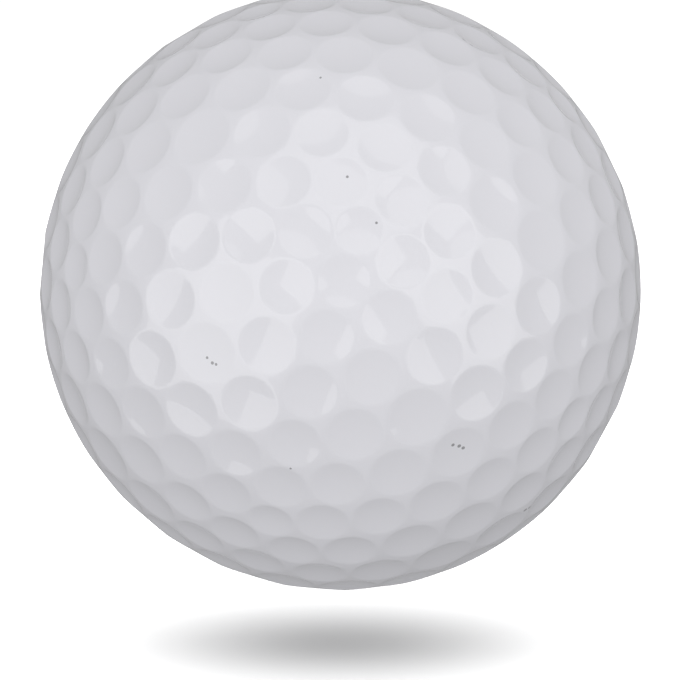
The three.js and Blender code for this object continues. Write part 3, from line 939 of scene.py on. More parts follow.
@dataclass
class Cover:
    """The cover: two dimpled half shells that meet along a line woven between the dimples.

    Lengths are in millimetres and angles in degrees. The rings of the bowl are shares of the way to its rim,
    and those of the rim are shares of its rounding. The overshoot is a share of the way to a cell's edge.
    """

    radius: float = BALL_RADIUS
    thickness: float = 1.9
    land: float = 0.2
    corner_dimple: float = 3.28
    depth: float = 0.33
    rim_round: float = 0.14
    turn_z: float = 66.15
    tip_y: float = -15.64
    tip_x: float = 8.18
    edge_steps: int = 6
    overshoot: float = 0.3
    bowl_rings: tuple[float, ...] = (0.14, 0.28, 0.42, 0.56, 0.7, 0.8)
    rim_rings: tuple[float, ...] = (0.9, 0.4, 0.0)
    finish: Finish = CoverFinish()
    lattice: DimpleLattice = DimpleLattice()

    def lie(self) -> Array:
        """Works out how the cover lies on the core: a turn about Z, a tip about Y, then a tip about X.

        Returns:
            The matrix of the three.
        """
        tip_y, tip_x = math.radians(self.tip_y), math.radians(self.tip_x)
        about_y = [[math.cos(tip_y), 0, math.sin(tip_y)], [0, 1, 0], [-math.sin(tip_y), 0, math.cos(tip_y)]]
        about_x = [[1, 0, 0], [0, math.cos(tip_x), -math.sin(tip_x)], [0, math.sin(tip_x), math.cos(tip_x)]]
        return np.array(about_x) @ np.array(about_y) @ spin(self.turn_z)

    def dimples(self) -> Dimples:
        """Sizes the dimples and sorts the corners of their cells.

        A dimple reaches to half a land from the middle between it and its nearest neighbour, except beside
        the twelve small ones, which have a set size. The corner of three cells is where the planes of their
        rims meet: cos(a) (B x C) + cos(b) (C x A) + cos(c) (A x B) for centres A, B, C that reach to angles
        a, b, c. Along the equator the dimples belong to the upper and the lower half by turns.

        Returns:
            The dimples.
        """
        centres, triangles = self.lattice.centres_and_triangles()
        small = np.bincount(triangles.ravel()) == self.lattice.corner_sides
        small_reach = math.asin(self.corner_dimple / (2 * self.radius))
        land = self.land / self.radius
        one = triangles[:, [0, 1, 2, 1, 2, 0]].ravel()
        other = triangles[:, [1, 2, 0, 0, 1, 2]].ravel()
        apart = np.arccos(np.sum(centres[one] * centres[other], -1))
        reaches = np.full(len(centres), np.inf)
        np.minimum.at(reaches, one, np.where(small[other], apart - small_reach - land, (apart - land) / 2))
        reaches[small] = np.minimum(reaches[small], small_reach)

        a, b, c = (centres[triangles[:, k]] for k in range(3))
        across = np.stack([np.cross(b, c), np.cross(c, a), np.cross(a, b)], 1)
        middles = unit(np.sum(np.cos(reaches[triangles])[..., None] * across, 1))
        owners, corners = triangles.ravel(), np.repeat(middles, 3, axis=0)
        steep = np.abs(centres[:, 2:]) > self.lattice.steep
        east = unit(np.cross(np.where(steep, [[1.0, 0.0, 0.0]], [[0.0, 0.0, 1.0]]), centres))[owners]
        north = np.cross(centres[owners], east)
        order = np.lexsort((np.arctan2(np.sum(corners * north, -1), np.sum(corners * east, -1)), owners))

        on_equator = np.flatnonzero(np.abs(centres[:, 2]) < self.lattice.tolerance)
        by_bearing = np.argsort(np.arctan2(centres[on_equator, 1], centres[on_equator, 0]))
        upper = centres[:, 2] > self.lattice.tolerance
        upper[on_equator[by_bearing[::2]]] = True
        return Dimples(centres, reaches, upper, owners[order], corners[order])

    def height(self, angle: Array, reach: Array) -> tuple[Array, Array]:
        """How far the surface is from the ball's centre, at an angle from a dimple's centre.

        With u the share of the way to the rim, the bowl lies d (1 - u^2) below the ball's own sphere. At the
        rim the two are blended over a band of width k by their mean less (x^2 / k + k) / 4, where x is their
        difference.

        Args:
            angle: The angle from the dimple's centre, in radians.
            reach: The angle at which the bowl meets the sphere.

        Returns:
            The distance, and how much it changes with the angle.
        """
        u = angle / reach
        x = -self.depth * (1 - u**2)
        climb = 2 * self.depth * u / reach
        k = 2 * self.depth * self.rim_round / (reach * self.radius)
        fall = np.where(np.abs(x) < k, x / 2 - (x**2 / k + k) / 4, np.minimum(x, 0))
        return self.radius + fall, climb * np.clip(0.5 - x / (2 * k), 0, 1)

    def cells(self, dimples: Dimples, sides: int, side: Side) -> tuple[Array, Array, Array, Array]:
        """Grids over the dimples of one half that have a number of neighbours.

        The first parameter runs from the dimple's centre over its rim to the edge of its cell. The second
        runs round that edge, along great arcs from corner to corner. A point lies in the direction
        cos(t) c + sin(t) e, for centre c and the tangent e towards the edge, at the distance that height()
        gives. The neighbour across an edge is the dimple nearest to a place beyond the edge's middle.

        Args:
            dimples: All the dimples.
            sides: How many neighbours, 5 or 6.
            side: Which half.

        Returns:
            Points and normals by cell, ring and place round the edge, the first ring being the centre; each
            cell's centre; and whether each step round the edge lies on the parting line.
        """
        count = np.bincount(dimples.owners)
        chosen = np.flatnonzero((count == sides) & (dimples.upper == (side is Side.UPPER)))
        start = np.cumsum(count) - count
        corners = dimples.corners[start[chosen][:, None] + np.arange(sides)]
        centres = dimples.centres[chosen]
        reach = dimples.reaches[chosen][:, None]

        ahead = np.roll(corners, -1, axis=1)
        between = unit(corners + ahead)
        beyond = between + self.overshoot * (between - centres[:, None])
        neighbour = np.argmax(np.einsum("ckx,dx->ckd", beyond, dimples.centres), -1)
        crossed = dimples.upper[neighbour] != dimples.upper[chosen][:, None]
        parting = np.repeat(crossed, self.edge_steps, axis=1)

        share = np.arange(self.edge_steps)[:, None] / self.edge_steps
        edge = unit(corners[:, :, None] * (1 - share) + ahead[:, :, None] * share).reshape(len(chosen), -1, 3)
        cosine = np.sum(edge * centres[:, None], -1)
        end = np.arccos(cosine)
        tangent = unit(edge - cosine[..., None] * centres[:, None])[:, None]
        middle = centres[:, None, None]

        soft = self.rim_round / self.radius
        half_way = (reach + end) / 2
        bowl = [reach * ring + 0 * end for ring in (0.0, *self.bowl_rings)]
        rim = [np.minimum(reach - soft * ring, half_way) for ring in self.rim_rings]
        angle = np.sort(np.stack([*bowl, *rim, half_way, end], 1), axis=1)
        distance, climb = self.height(angle, reach[:, None])
        cos, sin = np.cos(angle)[..., None], np.sin(angle)[..., None]
        out, along = cos * middle + sin * tangent, cos * tangent - sin * middle
        return distance[..., None] * out, unit(out - (climb / distance)[..., None] * along), centres, parting

    def half(self, dimples: Dimples, side: Side) -> Skin:
        """One half of the cover: the dimpled outside, the plain bore, and the parting face between them.

        Args:
            dimples: All the dimples.
            side: Which half.

        Returns:
            The closed shell, with a normal for each corner of its triangles.
        """
        bore = self.radius - self.thickness
        points: list[Array] = []
        slants: list[Array] = []
        faces: list[Array] = []
        walls: list[Array] = []
        total = 0
        for sides in (self.lattice.corner_sides, self.lattice.other_sides):
            grid, slant, centres, parting = self.cells(dimples, sides, side)
            cells, rings, around = grid.shape[:3]
            edge = unit(grid[:, -1])
            lining = np.stack([np.broadcast_to(centres[:, None], edge.shape), edge], 1)
            first, second = total, total + cells * rings * around
            total = second + cells * 2 * around
            points += [grid.reshape(-1, 3), lining.reshape(-1, 3) * bore]
            slants += [slant.reshape(-1, 3), -lining.reshape(-1, 3)]

            cell = np.arange(cells)[:, None, None]
            outer = grid_triangles(rings, around)[:, ::-1] + first + cell * rings * around
            inner = grid_triangles(2, around) + second + cell * 2 * around
            faces += [outer.reshape(-1, 3), inner.reshape(-1, 3)]

            cell, place = np.nonzero(parting)
            beside = (place + 1) % around
            rim = first + (cell * rings + rings - 1) * around
            foot = second + (cell * 2 + 1) * around
            walls += [np.stack([rim + beside, rim + place, foot + place], -1)]
            walls += [np.stack([rim + beside, foot + place, foot + beside], -1)]

        triangles = np.concatenate(faces + walls)
        is_wall = np.arange(len(triangles)) >= sum(len(part) for part in faces)
        whole = weld(np.concatenate(points), triangles)
        summed = np.zeros_like(whole.points)
        np.add.at(summed, whole.number, np.concatenate(slants))
        normals = unit(summed)[whole.triangles]
        a, b, c = (whole.points[whole.triangles[:, k]] for k in range(3))
        flat = is_wall[whole.kept]
        normals[flat] = unit(np.cross(b - a, c - a))[flat][:, None]
        lie = self.lie()
        return Skin(whole.points @ lie.T, whole.triangles, normals @ lie.T)

    def build(self) -> list[Object]:
        """Makes both halves in place of their solids, finished."""
        dimples = self.dimples()
        return [fit(f"cover_{side.value}", self.half(dimples, side), self.finish) for side in Side]


# Inside


class Spot(NamedTuple):
    """A place on a board, and the bearing that it faces, in degrees."""

    x: float
    y: float
    facing: float


@dataclass(frozen=True)
class Layout:
    """Sizes that the pieces inside share, in millimetres and degrees."""

    core_radius: float = 19.135
    layer_gap: float = 0.3
    board_diameter: float = 16.8
    board_thickness: float = 0.8
    ledge_width: float = 0.9
    spacing: float = 0.4
    led_bearing: float = 0.0
    chip_bearing: float = 60.0
    cell_diameter: float = 10.0
    cell_height: float = 2.5
    contact_thickness: float = 0.3
    holder_diameter: float = 15.6
    holder_clearance: float = 0.15
    link_diameter: float = 0.8
    switch_diameter: float = 4.4
    can_top: float = 9.65
    can_rim: float = 0.15
    capsule_clearance: float = 0.3
    capsule_wall: float = 1.4

    @property
    def board_inner(self) -> float:
        """The height of a board's inner face."""
        return self.cell_height + self.contact_thickness

    @property
    def board_outer(self) -> float:
        """The height of a board's outer face, which the parts stand on."""
        return self.board_inner + self.board_thickness

    @property
    def ledge_radius(self) -> float:
        """The radius inside the capsule's ledge, which a board seats on."""
        return self.board_diameter / 2 - self.ledge_width

    @property
    def holder_bore(self) -> float:
        """The radius of the ring that the cells lie in."""
        return self.cell_diameter / 2 + self.holder_clearance

    @property
    def link_circle(self) -> float:
        """The radius of the circle that the link pins stand on."""
        return (self.holder_diameter / 2 + self.holder_bore) / 2

    @property
    def can_radius(self) -> float:
        """The radius of the switch's can."""
        return self.switch_diameter / 2 - self.can_rim

    @property
    def capsule_bore(self) -> float:
        """The capsule's inner radius, which clears the switch's can."""
        return math.hypot(self.can_radius, self.can_top) + self.capsule_clearance

    @property
    def capsule_radius(self) -> float:
        """The capsule's outer radius."""
        return self.capsule_bore + self.capsule_wall

    def spots(self, radius: float, first: float, turn: float = 0.0) -> list[Spot]:
        """Three places on a circle, 120 degrees apart.

        Args:
            radius: The circle's radius.
            first: The first place's bearing.
            turn: How far a part there is turned from facing outwards.

        Returns:
            The places.
        """
        angles = [first + step for step in (0, 120, 240)]
        turned = [(a, math.radians(a)) for a in angles]
        return [Spot(radius * math.cos(r), radius * math.sin(r), a + turn) for a, r in turned]

    def mounted(self, skin: Skin, spot: Spot, side: Side) -> Skin:
        """A part on the outer face of a board, turned over with it on the lower one."""
        over = np.diag([1.0, side.sign, side.sign])
        return skin.moved(spin(spot.facing) @ over, (spot.x, spot.y, side.sign * self.board_outer))


@dataclass
class Shells:
    """The clear core and the clear capsule, each in two halves, in millimetres."""

    layout: Layout
    tongue_width: float = 1.6
    tongue_height: float = 1.0
    tongue_clearance: float = 0.2
    lap_height: float = 1.0
    lap_clearance: float = 0.1
    lap_drop: float = 0.01
    ledge_height: float = 0.9
    edge_round: float = 0.12
    core_finish: Finish = ClearFinish("core_clear_resin", (0.93, 0.95, 0.94, 1.0), (0.10, 0.2), index=1.47)
    capsule_finish: Finish = ClearFinish(
        "capsule_polycarbonate", (0.96, 0.97, 0.98, 1.0), (0.03, 0.08), index=1.58)

    def core_half(self, side: Side) -> Skin:
        """Turns half a ball shell about Z, its parting face with a groove above and a tongue below.

        Args:
            side: Which half.

        Returns:
            The closed skin.
        """
        outer = self.layout.core_radius
        inner = self.layout.capsule_radius + self.layout.layer_gap
        spare = self.tongue_clearance if side is Side.UPPER else 0.0
        middle = (outer + inner) / 2
        far, near = middle + self.tongue_width / 2 + spare, middle - self.tongue_width / 2 - spare
        step = self.tongue_height + spare
        face = [[outer, 0], [far, 0], [far, step], [near, step], [near, 0], [inner, 0]]
        pole = 90.0 * side.sign
        joint = softened(face, self.edge_round)
        return revolved(np.concatenate([arc(outer, pole, 0), joint, arc(inner, 0, pole)]))

    def capsule_half(self, side: Side) -> Skin:
        """Turns half a ball shell about Z, with a lap joint where it parts and a ledge inside.

        Args:
            side: Which half.

        Returns:
            The closed skin.
        """
        bore, outer, ledge = self.layout.capsule_bore, self.layout.capsule_radius, self.layout.ledge_radius
        sign, pole = side.sign, 90.0 * side.sign
        low, high = self.layout.board_outer, self.layout.board_outer + self.ledge_height
        to_ledge, past_ledge = (sign * math.degrees(math.asin(z / bore)) for z in (low, high))
        lap = bore + self.layout.capsule_wall / 2 + sign * self.lap_clearance / 2
        top, start = self.lap_height, 0.0
        inner = [[bore, top], [bore, top - self.lap_drop]]
        if side is Side.UPPER:
            top += self.lap_clearance
            start = math.degrees(math.asin(top / bore))
            inner = [*arc(bore, start, start, steps=1)]
        lip = softened([[outer, 0], [lap, 0], [lap, top], *inner], self.edge_round)
        chamber = arc(bore, start, to_ledge, steps=12)
        dome = arc(bore, past_ledge, pole)
        shelf = softened([chamber[-1], [ledge, sign * low], [ledge, sign * high], dome[0]], self.edge_round)
        return revolved(np.concatenate([arc(outer, pole, 0), lip, chamber, shelf, dome]))

    def build(self) -> list[Object]:
        """Makes the four halves in place of their solids, finished.

        Returns:
            The pieces.
        """
        pieces = [fit(f"core_{side.value}", self.core_half(side), self.core_finish) for side in Side]
        for side in Side:
            half = self.capsule_half(side)
            pieces.append(fit(f"capsule_{side.value}", half, self.capsule_finish))
        return pieces


@dataclass
class PowerPack:
    """The boards, the cells with holder and contacts, and the pins that link the boards, in millimetres."""

    layout: Layout
    cap_diameter: float = 8.4
    cap_height: float = 0.35
    seal_width: float = 0.12
    seal_depth: float = 0.15
    can_round: float = 0.4
    can_crown: float = 1.0
    contact_diameter: float = 8.0
    slot_width: float = 0.7
    slot_span: float = 80.0
    slot_steps: int = 24
    link_shank: float = 1.2
    link_protrusion: float = 0.5
    link_clearance: float = 0.1
    pad_radius: float = 1.1
    edge_round: float = 0.1
    mask: Colour = (0.06, 0.25, 0.12, 1.0)
    tin: Colour = (0.72, 0.71, 0.68, 1.0)
    holder_finish: Finish = MouldedFinish("holder_black_plastic", (0.03, 0.03, 0.035, 1.0), (0.5, 0.62))
    cell_finish: Finish = MetalFinish("cell_turned_steel", (0.6, 0.6, 0.61, 1.0), (0.22, 0.36), Grain.TURNED)
    contact_finish: Finish = MetalFinish("contact_brass", (0.72, 0.55, 0.25, 1.0), (0.25, 0.4))
    pin_finish: Finish = MetalFinish("link_drawn_steel", (0.62, 0.63, 0.64, 1.0), (0.2, 0.32), Grain.DRAWN)

    def pins(self) -> list[Spot]:
        """Where the link pins stand."""
        return self.layout.spots(self.layout.link_circle, self.layout.chip_bearing)

    def holes(self, radius: float) -> list[Array]:
        """A round loop at each pin."""
        return [circle(radius, pin.x, pin.y, HOLE_SIDES) for pin in self.pins()]

    def board_finish(self) -> LaminateFinish:
        """Green solder mask with a tinned ring at each pin."""
        places = tuple((pin.x * MM, pin.y * MM) for pin in self.pins())
        return LaminateFinish("board_green_laminate", self.mask, self.tin, places, self.pad_radius * MM)

    def board(self, side: Side) -> Skin:
        """Makes a round plate with a hole for each pin.

        Args:
            side: Which board.

        Returns:
            The closed skin.
        """
        holes = self.holes(self.layout.link_diameter / 2 + self.link_clearance)
        low, high = sorted((side.sign * self.layout.board_inner, side.sign * self.layout.board_outer))
        return plate(circle(self.layout.board_diameter / 2), holes, low, high)

    def holder(self) -> Skin:
        """Makes a ring as tall as both cells and their contacts, with a hole for each pin's shank.

        Returns:
            The closed skin.
        """
        holes = self.holes(self.link_shank / 2 + self.layout.holder_clearance)
        bore = circle(self.layout.holder_bore)
        height = self.layout.board_inner
        return plate(circle(self.layout.holder_diameter / 2), [*holes, bore], -height, height)

    def cell(self, low: float) -> Skin:
        """Turns a cell about Z: the narrower cap below, the seal's groove, and the can, rounded at its edge.

        Args:
            low: The height of its lower face.

        Returns:
            The closed skin.
        """
        cap, can = self.cap_diameter / 2, self.layout.cell_diameter / 2
        shoulder, top = low + self.cap_height, low + self.layout.cell_height
        seal, groove, wall = cap + self.seal_width, shoulder + self.seal_depth, [can, top - self.can_crown]
        below = [[0, low], [cap, low], [cap, groove], [seal, groove], [seal, shoulder], [can, shoulder], wall]
        above = [wall, [can, top], [0, top]]
        crown = softened(above, self.can_round, steps=9)
        return revolved(np.concatenate([softened(below, self.edge_round), crown]))

    def contact(self, low: float) -> Skin:
        """Makes a round plate with three curved slots, each between two arcs of a circle.

        Args:
            low: The height of its lower face.

        Returns:
            The closed skin.
        """
        half = self.slot_width / 2
        middle = self.contact_diameter / 4 + half
        span = np.linspace(-0.5, 0.5, self.slot_steps) * self.slot_span
        slots = []
        for spot in self.layout.spots(middle, self.layout.led_bearing):
            way = polar(1.0, np.radians(spot.facing + span))
            slots.append(np.concatenate([(middle + half) * way, (middle - half) * way[::-1]]))
        return plate(circle(self.contact_diameter / 2), slots, low, low + self.layout.contact_thickness)

    def link(self, pin: Spot) -> Skin:
        """Turns a pin about its own axis: a thick shank between the boards and a thinner end through each.

        Args:
            pin: Where it stands.

        Returns:
            The closed skin.
        """
        thin, thick = self.layout.link_diameter / 2, self.link_shank / 2
        seat, end = self.layout.board_inner, self.layout.board_outer + self.link_protrusion
        half = [[thick, seat], [thin, seat], [thin, end], [0, end]]
        line = [[r, -z] for r, z in reversed(half)] + half
        return revolved(softened(line, self.edge_round), PIN_SIDES).moved(np.eye(3), (pin.x, pin.y, 0.0))

    def build(self) -> list[Object]:
        """Makes the pieces in place of their solids, finished.

        Returns:
            The pieces.
        """
        height = self.layout.cell_height
        pieces = [fit(f"{side.value}_board", self.board(side), self.board_finish()) for side in Side]
        pieces.append(fit("cell_holder", self.holder(), self.holder_finish))
        for side, low in zip(Side, (0.0, -height)):
            pieces.append(fit(f"{side.value}_cell", self.cell(low), self.cell_finish))
        for side, low in zip(Side, (height, -self.layout.board_inner)):
            pieces.append(fit(f"{side.value}_contact", self.contact(low), self.contact_finish))
        for i, pin in enumerate(self.pins(), 1):
            pieces.append(fit(f"link_pin_{i}", self.link(pin), self.pin_finish))
        return pieces


@dataclass
class LampRing:
    """The LEDs, three on each board, in millimetres and degrees."""

    layout: Layout
    width: float = 2.8
    base_height: float = 0.9
    dome_diameter: float = 2.3
    dome_foot: float = 0.3
    dome_rings: int = 14
    dome_end: float = 89.0
    edge_round: float = 0.06
    finish: Finish = TwoToneFinish(
        "led_base_and_dome", (0.86, 0.87, 0.85, 1.0), (0.93, 0.82, 0.45, 1.0), (0.45, 0.12), 0.0, coat=1.0)

    def led(self) -> Skin:
        """Joins rings that go from a rounded square to a circle and over a dome: radius times either.

        Returns:
            The closed skin, its share one on the dome.
        """
        half, dome, soft = self.width / 2, self.dome_diameter / 2, self.edge_round
        top, spring_line = self.base_height, self.base_height + self.dome_foot
        rise = np.radians(np.linspace(0, self.dome_end, self.dome_rings))
        base = [half - soft, half, half, half - soft]
        across = np.array([*base, dome, *(dome * np.cos(rise))])
        heights = np.array([0, soft, top - soft, top, top, *(spring_line + dome * np.sin(rise))])
        in_base = np.arange(len(across)) < len(base)
        reach = across[:, None] * np.where(in_base[:, None], squared(), 1.0)
        return lofted(polar(reach, bearings(SIDES), heights[:, None]), (~in_base).astype(float))

    def build(self) -> list[Object]:
        """Makes the six LEDs in place of their solids, finished.

        Returns:
            The pieces.
        """
        half = self.width / 2
        reach = self.layout.ledge_radius - self.layout.spacing
        ring = math.sqrt(reach**2 - half**2) - half
        led = self.led()
        pieces = []
        for side in Side:
            for i, spot in enumerate(self.layout.spots(ring, self.layout.led_bearing), 1):
                lamp = self.layout.mounted(led, spot, side)
                pieces.append(fit(f"led_{side.value}_{i}", lamp, self.finish))
        return pieces


@dataclass(frozen=True)
class ChipSize:
    """The sizes of a chip resistor or capacitor, in millimetres."""

    length: float
    width: float
    height: float
    terminal: float
    step: float


@dataclass
class ChipSet:
    """The controller, the timing parts and the LEDs' resistors, in millimetres.

    The squareness is the power of the rounded squares that their sections follow.
    """

    layout: Layout
    resistor: ChipSize = ChipSize(1.6, 0.8, 0.5, 0.3, 0.05)
    capacitor: ChipSize = ChipSize(2.0, 1.25, 1.1, 0.45, 0.06)
    chip_sides: int = 64
    chip_squareness: float = 12.0
    chip_round: float = 0.03
    length: float = 2.9
    width: float = 1.6
    height: float = 1.0
    squareness: float = 24.0
    edge_round: float = 0.05
    draft: float = 0.05
    standoff: float = 0.1
    span: float = 2.8
    leg_width: float = 0.4
    leg_thickness: float = 0.16
    leg_pitch: float = 0.95
    leg_root: float = 0.2
    leg_round: float = 0.06
    chip_finish: Finish = TwoToneFinish(
        "controller_black_and_tin", (0.02, 0.02, 0.022, 1.0), (0.66, 0.66, 0.64, 1.0), (0.55, 0.3), 1.0)
    resistor_finish: Finish = TwoToneFinish(
        "resistor_black_and_tin", (0.03, 0.03, 0.035, 1.0), (0.7, 0.7, 0.68, 1.0), (0.4, 0.3), 1.0)
    capacitor_finish: Finish = TwoToneFinish(
        "capacitor_tan_and_tin", (0.48, 0.32, 0.18, 1.0), (0.7, 0.7, 0.68, 1.0), (0.5, 0.3), 1.0)

    def block(self) -> Skin:
        """Makes the controller's body: rounded oblong rings, widest at the parting line half way up.

        Each ring is set in by a share of the draft.

        Returns:
            The closed skin.
        """
        low, high = self.standoff, self.standoff + self.height
        heights = np.array([low, low + self.edge_round, (low + high) / 2, high - self.edge_round, high])
        inset = np.array([1.0, 0.5, 0.0, 0.5, 1.0])[:, None] * self.draft
        a, reach = bearings(SIDES), squared(power=self.squareness)
        x = (self.length / 2 - inset) * reach * np.cos(a)
        y = (self.width / 2 - inset) * reach * np.sin(a)
        return lofted(np.stack(np.broadcast_arrays(x, y, heights[:, None]), -1))

    def leg(self, place: float, turn: float) -> Skin:
        """Makes a gull-wing leg: its side view raised by its width and stood up beside the body.

        Args:
            place: How far along the body it is.
            turn: The bearing of its side of the body.

        Returns:
            The closed skin, its share one.
        """
        root, reach, thick = self.leg_root, self.span / 2, self.leg_thickness
        bend = (reach + self.width / 2) / 2
        rise = self.standoff + self.height / 2
        side = [
            [root, rise], [bend, rise], [bend, thick], [reach, thick], [reach, 0],
            [bend - thick, 0], [bend - thick, rise - thick], [root, rise - thick],
        ]
        half = self.leg_width / 2
        strip = plate(softened(side, self.leg_round, closed=True), [], -half, half)
        strip = replace(strip, share=np.ones(len(strip.points)))
        upright = np.array([[1.0, 0, 0], [0, 0, -1.0], [0, 1.0, 0]])
        return strip.moved(spin(90 + turn) @ upright, (place, 0, 0))

    def controller(self) -> Skin:
        """The body with three legs on each long side."""
        places = [(i * self.leg_pitch, turn) for turn in (0.0, 180.0) for i in (-1, 0, 1)]
        return united([self.block(), *(self.leg(place, turn) for place, turn in places)])

    def chip(self, size: ChipSize) -> Skin:
        """Makes a chip part: rounded oblong sections along its length, larger at the two terminals.

        A section is set in by a number of the part's steps, half as much across and two thirds as much up.

        Args:
            size: The part's sizes.

        Returns:
            The closed skin, its share one on the terminals.
        """
        end, shoulder, soft = size.length / 2, size.length / 2 - size.terminal, self.chip_round
        half = np.array([[end, 1.0], [end - soft, 0.0], [shoulder + soft, 0.0], [shoulder, 1.5], [0.0, 1.5]])
        along = np.concatenate([half[:, 0] * -1, half[::-1, 0]])
        inset = np.concatenate([half[:, 1], half[::-1, 1]])[:, None] * size.step
        is_end = np.abs(along) > shoulder + soft / 2
        a, reach = bearings(self.chip_sides), squared(self.chip_sides, self.chip_squareness)
        y = (size.width / 2 - inset / 2) * reach * np.cos(a)
        z = size.height / 2 + (size.height / 2 - inset * 2 / 3) * reach * np.sin(a)
        return lofted(np.stack(np.broadcast_arrays(along[:, None], y, z), -1), is_end.astype(float))

    def spots(self, width: float) -> list[Spot]:
        """Places between the LEDs, lengthways across the radius, just outside the switch."""
        inside = self.layout.switch_diameter / 2 + self.layout.spacing
        return self.layout.spots(inside + width / 2, self.layout.chip_bearing, turn=90.0)

    def build(self) -> list[Object]:
        """Makes the chips in place of their solids, finished.

        Returns:
            The pieces.
        """
        mounted, upper, small = self.layout.mounted, Side.UPPER, self.resistor_finish
        resistor = self.chip(self.resistor)
        places = self.spots(self.resistor.width)
        controller = mounted(self.controller(), self.spots(self.span)[0], upper)
        capacitor = mounted(self.chip(self.capacitor), self.spots(self.capacitor.width)[1], upper)
        pieces = [
            fit("controller_chip", controller, self.chip_finish),
            fit("timing_capacitor", capacitor, self.capacitor_finish),
            fit("timing_resistor", mounted(resistor, places[2], upper), small),
        ]
        for i, spot in enumerate(places, 1):
            pieces.append(fit(f"led_resistor_{i}", mounted(resistor, spot, Side.LOWER), small))
        return pieces


@dataclass
class ImpactSwitch:
    """The switch: a coil that stands round a fixed pin under a metal can, in millimetres."""

    layout: Layout
    flange: float = 0.5
    boss_diameter: float = 1.1
    boss_height: float = 0.5
    pin_diameter: float = 0.6
    pin_clearance: float = 0.05
    pin_overshoot: float = 0.2
    foot_round: float = 0.03
    tip_round: float = 0.2
    tip_length: float = 1.0
    spring_diameter: float = 2.0
    wire: float = 0.3
    pitch: float = 0.8
    turns: int = 5
    seat_gap: float = 0.3
    seat_share: float = 0.1
    can_wall: float = 0.25
    edge_round: float = 0.08
    base_finish: Finish = MouldedFinish("switch_black_plastic", (0.03, 0.03, 0.04, 1.0), (0.45, 0.58))
    can_finish: Finish = MetalFinish("switch_washed_brass", (0.7, 0.6, 0.38, 1.0), (0.22, 0.34), Grain.DRAWN)
    pin_finish: Finish = MetalFinish("switch_pin_steel", (0.62, 0.63, 0.64, 1.0), (0.18, 0.3), Grain.DRAWN)
    coil_finish: Finish = MetalFinish("switch_coil_wire", (0.66, 0.66, 0.65, 1.0), (0.16, 0.28))

    @property
    def deck(self) -> float:
        """The height of the top of the flange."""
        return self.layout.board_outer + self.flange

    @property
    def coil_bottom(self) -> float:
        """The height that the coil sways about."""
        return self.deck + self.seat_gap

    @property
    def coil_top(self) -> float:
        """The height of the top of the coil."""
        return self.coil_bottom + self.wire + self.turns * self.pitch

    def base(self) -> Skin:
        """Turns a flange with a boss, bored for the pin, about Z.

        Returns:
            The closed skin.
        """
        bore = self.pin_diameter / 2 + self.pin_clearance
        edge, boss = self.layout.switch_diameter / 2, self.boss_diameter / 2
        low, top = self.layout.board_outer, self.deck + self.boss_height
        loop = [[bore, low], [edge, low], [edge, self.deck], [boss, self.deck], [boss, top], [bore, top]]
        return revolved(softened(loop, self.edge_round, closed=True), closed=True)

    def pin(self) -> Skin:
        """Turns a round pin with a rounded tip about Z.

        Returns:
            The closed skin.
        """
        radius, low, top = self.pin_diameter / 2, self.layout.board_outer, self.coil_top + self.pin_overshoot
        shank = [radius, top - self.tip_length]
        foot = softened([[0, low], [radius, low], shank], self.foot_round)
        tip = softened([shank, [radius, top], [0, top]], self.tip_round, steps=9)
        return revolved(np.concatenate([foot, tip]), PIN_SIDES)

    def can(self) -> Skin:
        """Turns a thin cup that stands upside down on the flange about Z.

        Returns:
            The closed skin.
        """
        outer, top, foot = self.layout.can_radius, self.layout.can_top, self.deck
        inner, roof = outer - self.can_wall, top - self.can_wall
        line = [[0, top], [outer, top], [outer, foot], [inner, foot], [inner, roof], [0, roof]]
        return revolved(softened(line, self.edge_round))

    def coil(self, steps: int = 260, sides: int = 14) -> Skin:
        """Carries a circle along a helix, square to its path: (r cos a, r sin a, z).

        The first tenth of the path dips by the seat's gap, so that the wire's end stands on the flange.

        Args:
            steps: Rings along the path.
            sides: Points round the wire.

        Returns:
            The closed skin.
        """
        t = np.linspace(0, 1, steps)
        radius, turn, up = self.spring_diameter / 2, 2 * np.pi * self.turns, np.array([0.0, 0.0, 1.0])
        dip = self.seat_gap * np.clip(1 - t / self.seat_share, 0, 1) ** 2
        height = self.coil_bottom + self.wire / 2 + self.turns * self.pitch * t - dip
        out = polar(1.0, turn * t, 0.0)
        way = unit(np.cross(up, out) * (radius * turn) + np.gradient(height, t)[:, None] * up)
        over = np.cross(way, out)
        path = out * radius + height[:, None] * up
        a = bearings(sides)[None, :, None]
        return lofted(path[:, None] + self.wire / 2 * (np.cos(a) * out[:, None] + np.sin(a) * over[:, None]))

    def build(self) -> list[Object]:
        """Makes the pieces in place of their solids, finished.

        Returns:
            The pieces.
        """
        pieces = [
            fit("switch_base", self.base(), self.base_finish),
            fit("switch_pin", self.pin(), self.pin_finish),
            fit("switch_can", self.can(), self.can_finish),
        ]
        coil = make_object("switch_spring_skin", self.coil(), self.coil_finish.material())
        foot, head = (0.0, 0.0, self.coil_bottom * MM), (0.0, 0.0, self.coil_top * MM)
        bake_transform(coil)
        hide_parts("switch_spring")
        return [*pieces, coil]


# Studio


class Shape(Enum):
    """The shape of a lamp's face, and the share of its width times its height that it fills."""

    RECTANGLE = 1.0
    ELLIPSE = math.pi / 4


@dataclass(frozen=True)
class Softbox:
    """A flat lamp that faces the ball, placed by angles from the line of sight, in degrees and metres."""

    name: str
    sideways: float
    above: float
    roll: float
    width: float
    height: float
    distance: float
    radiance: float
    shape: Shape = Shape.RECTANGLE
    mirrored: bool = True


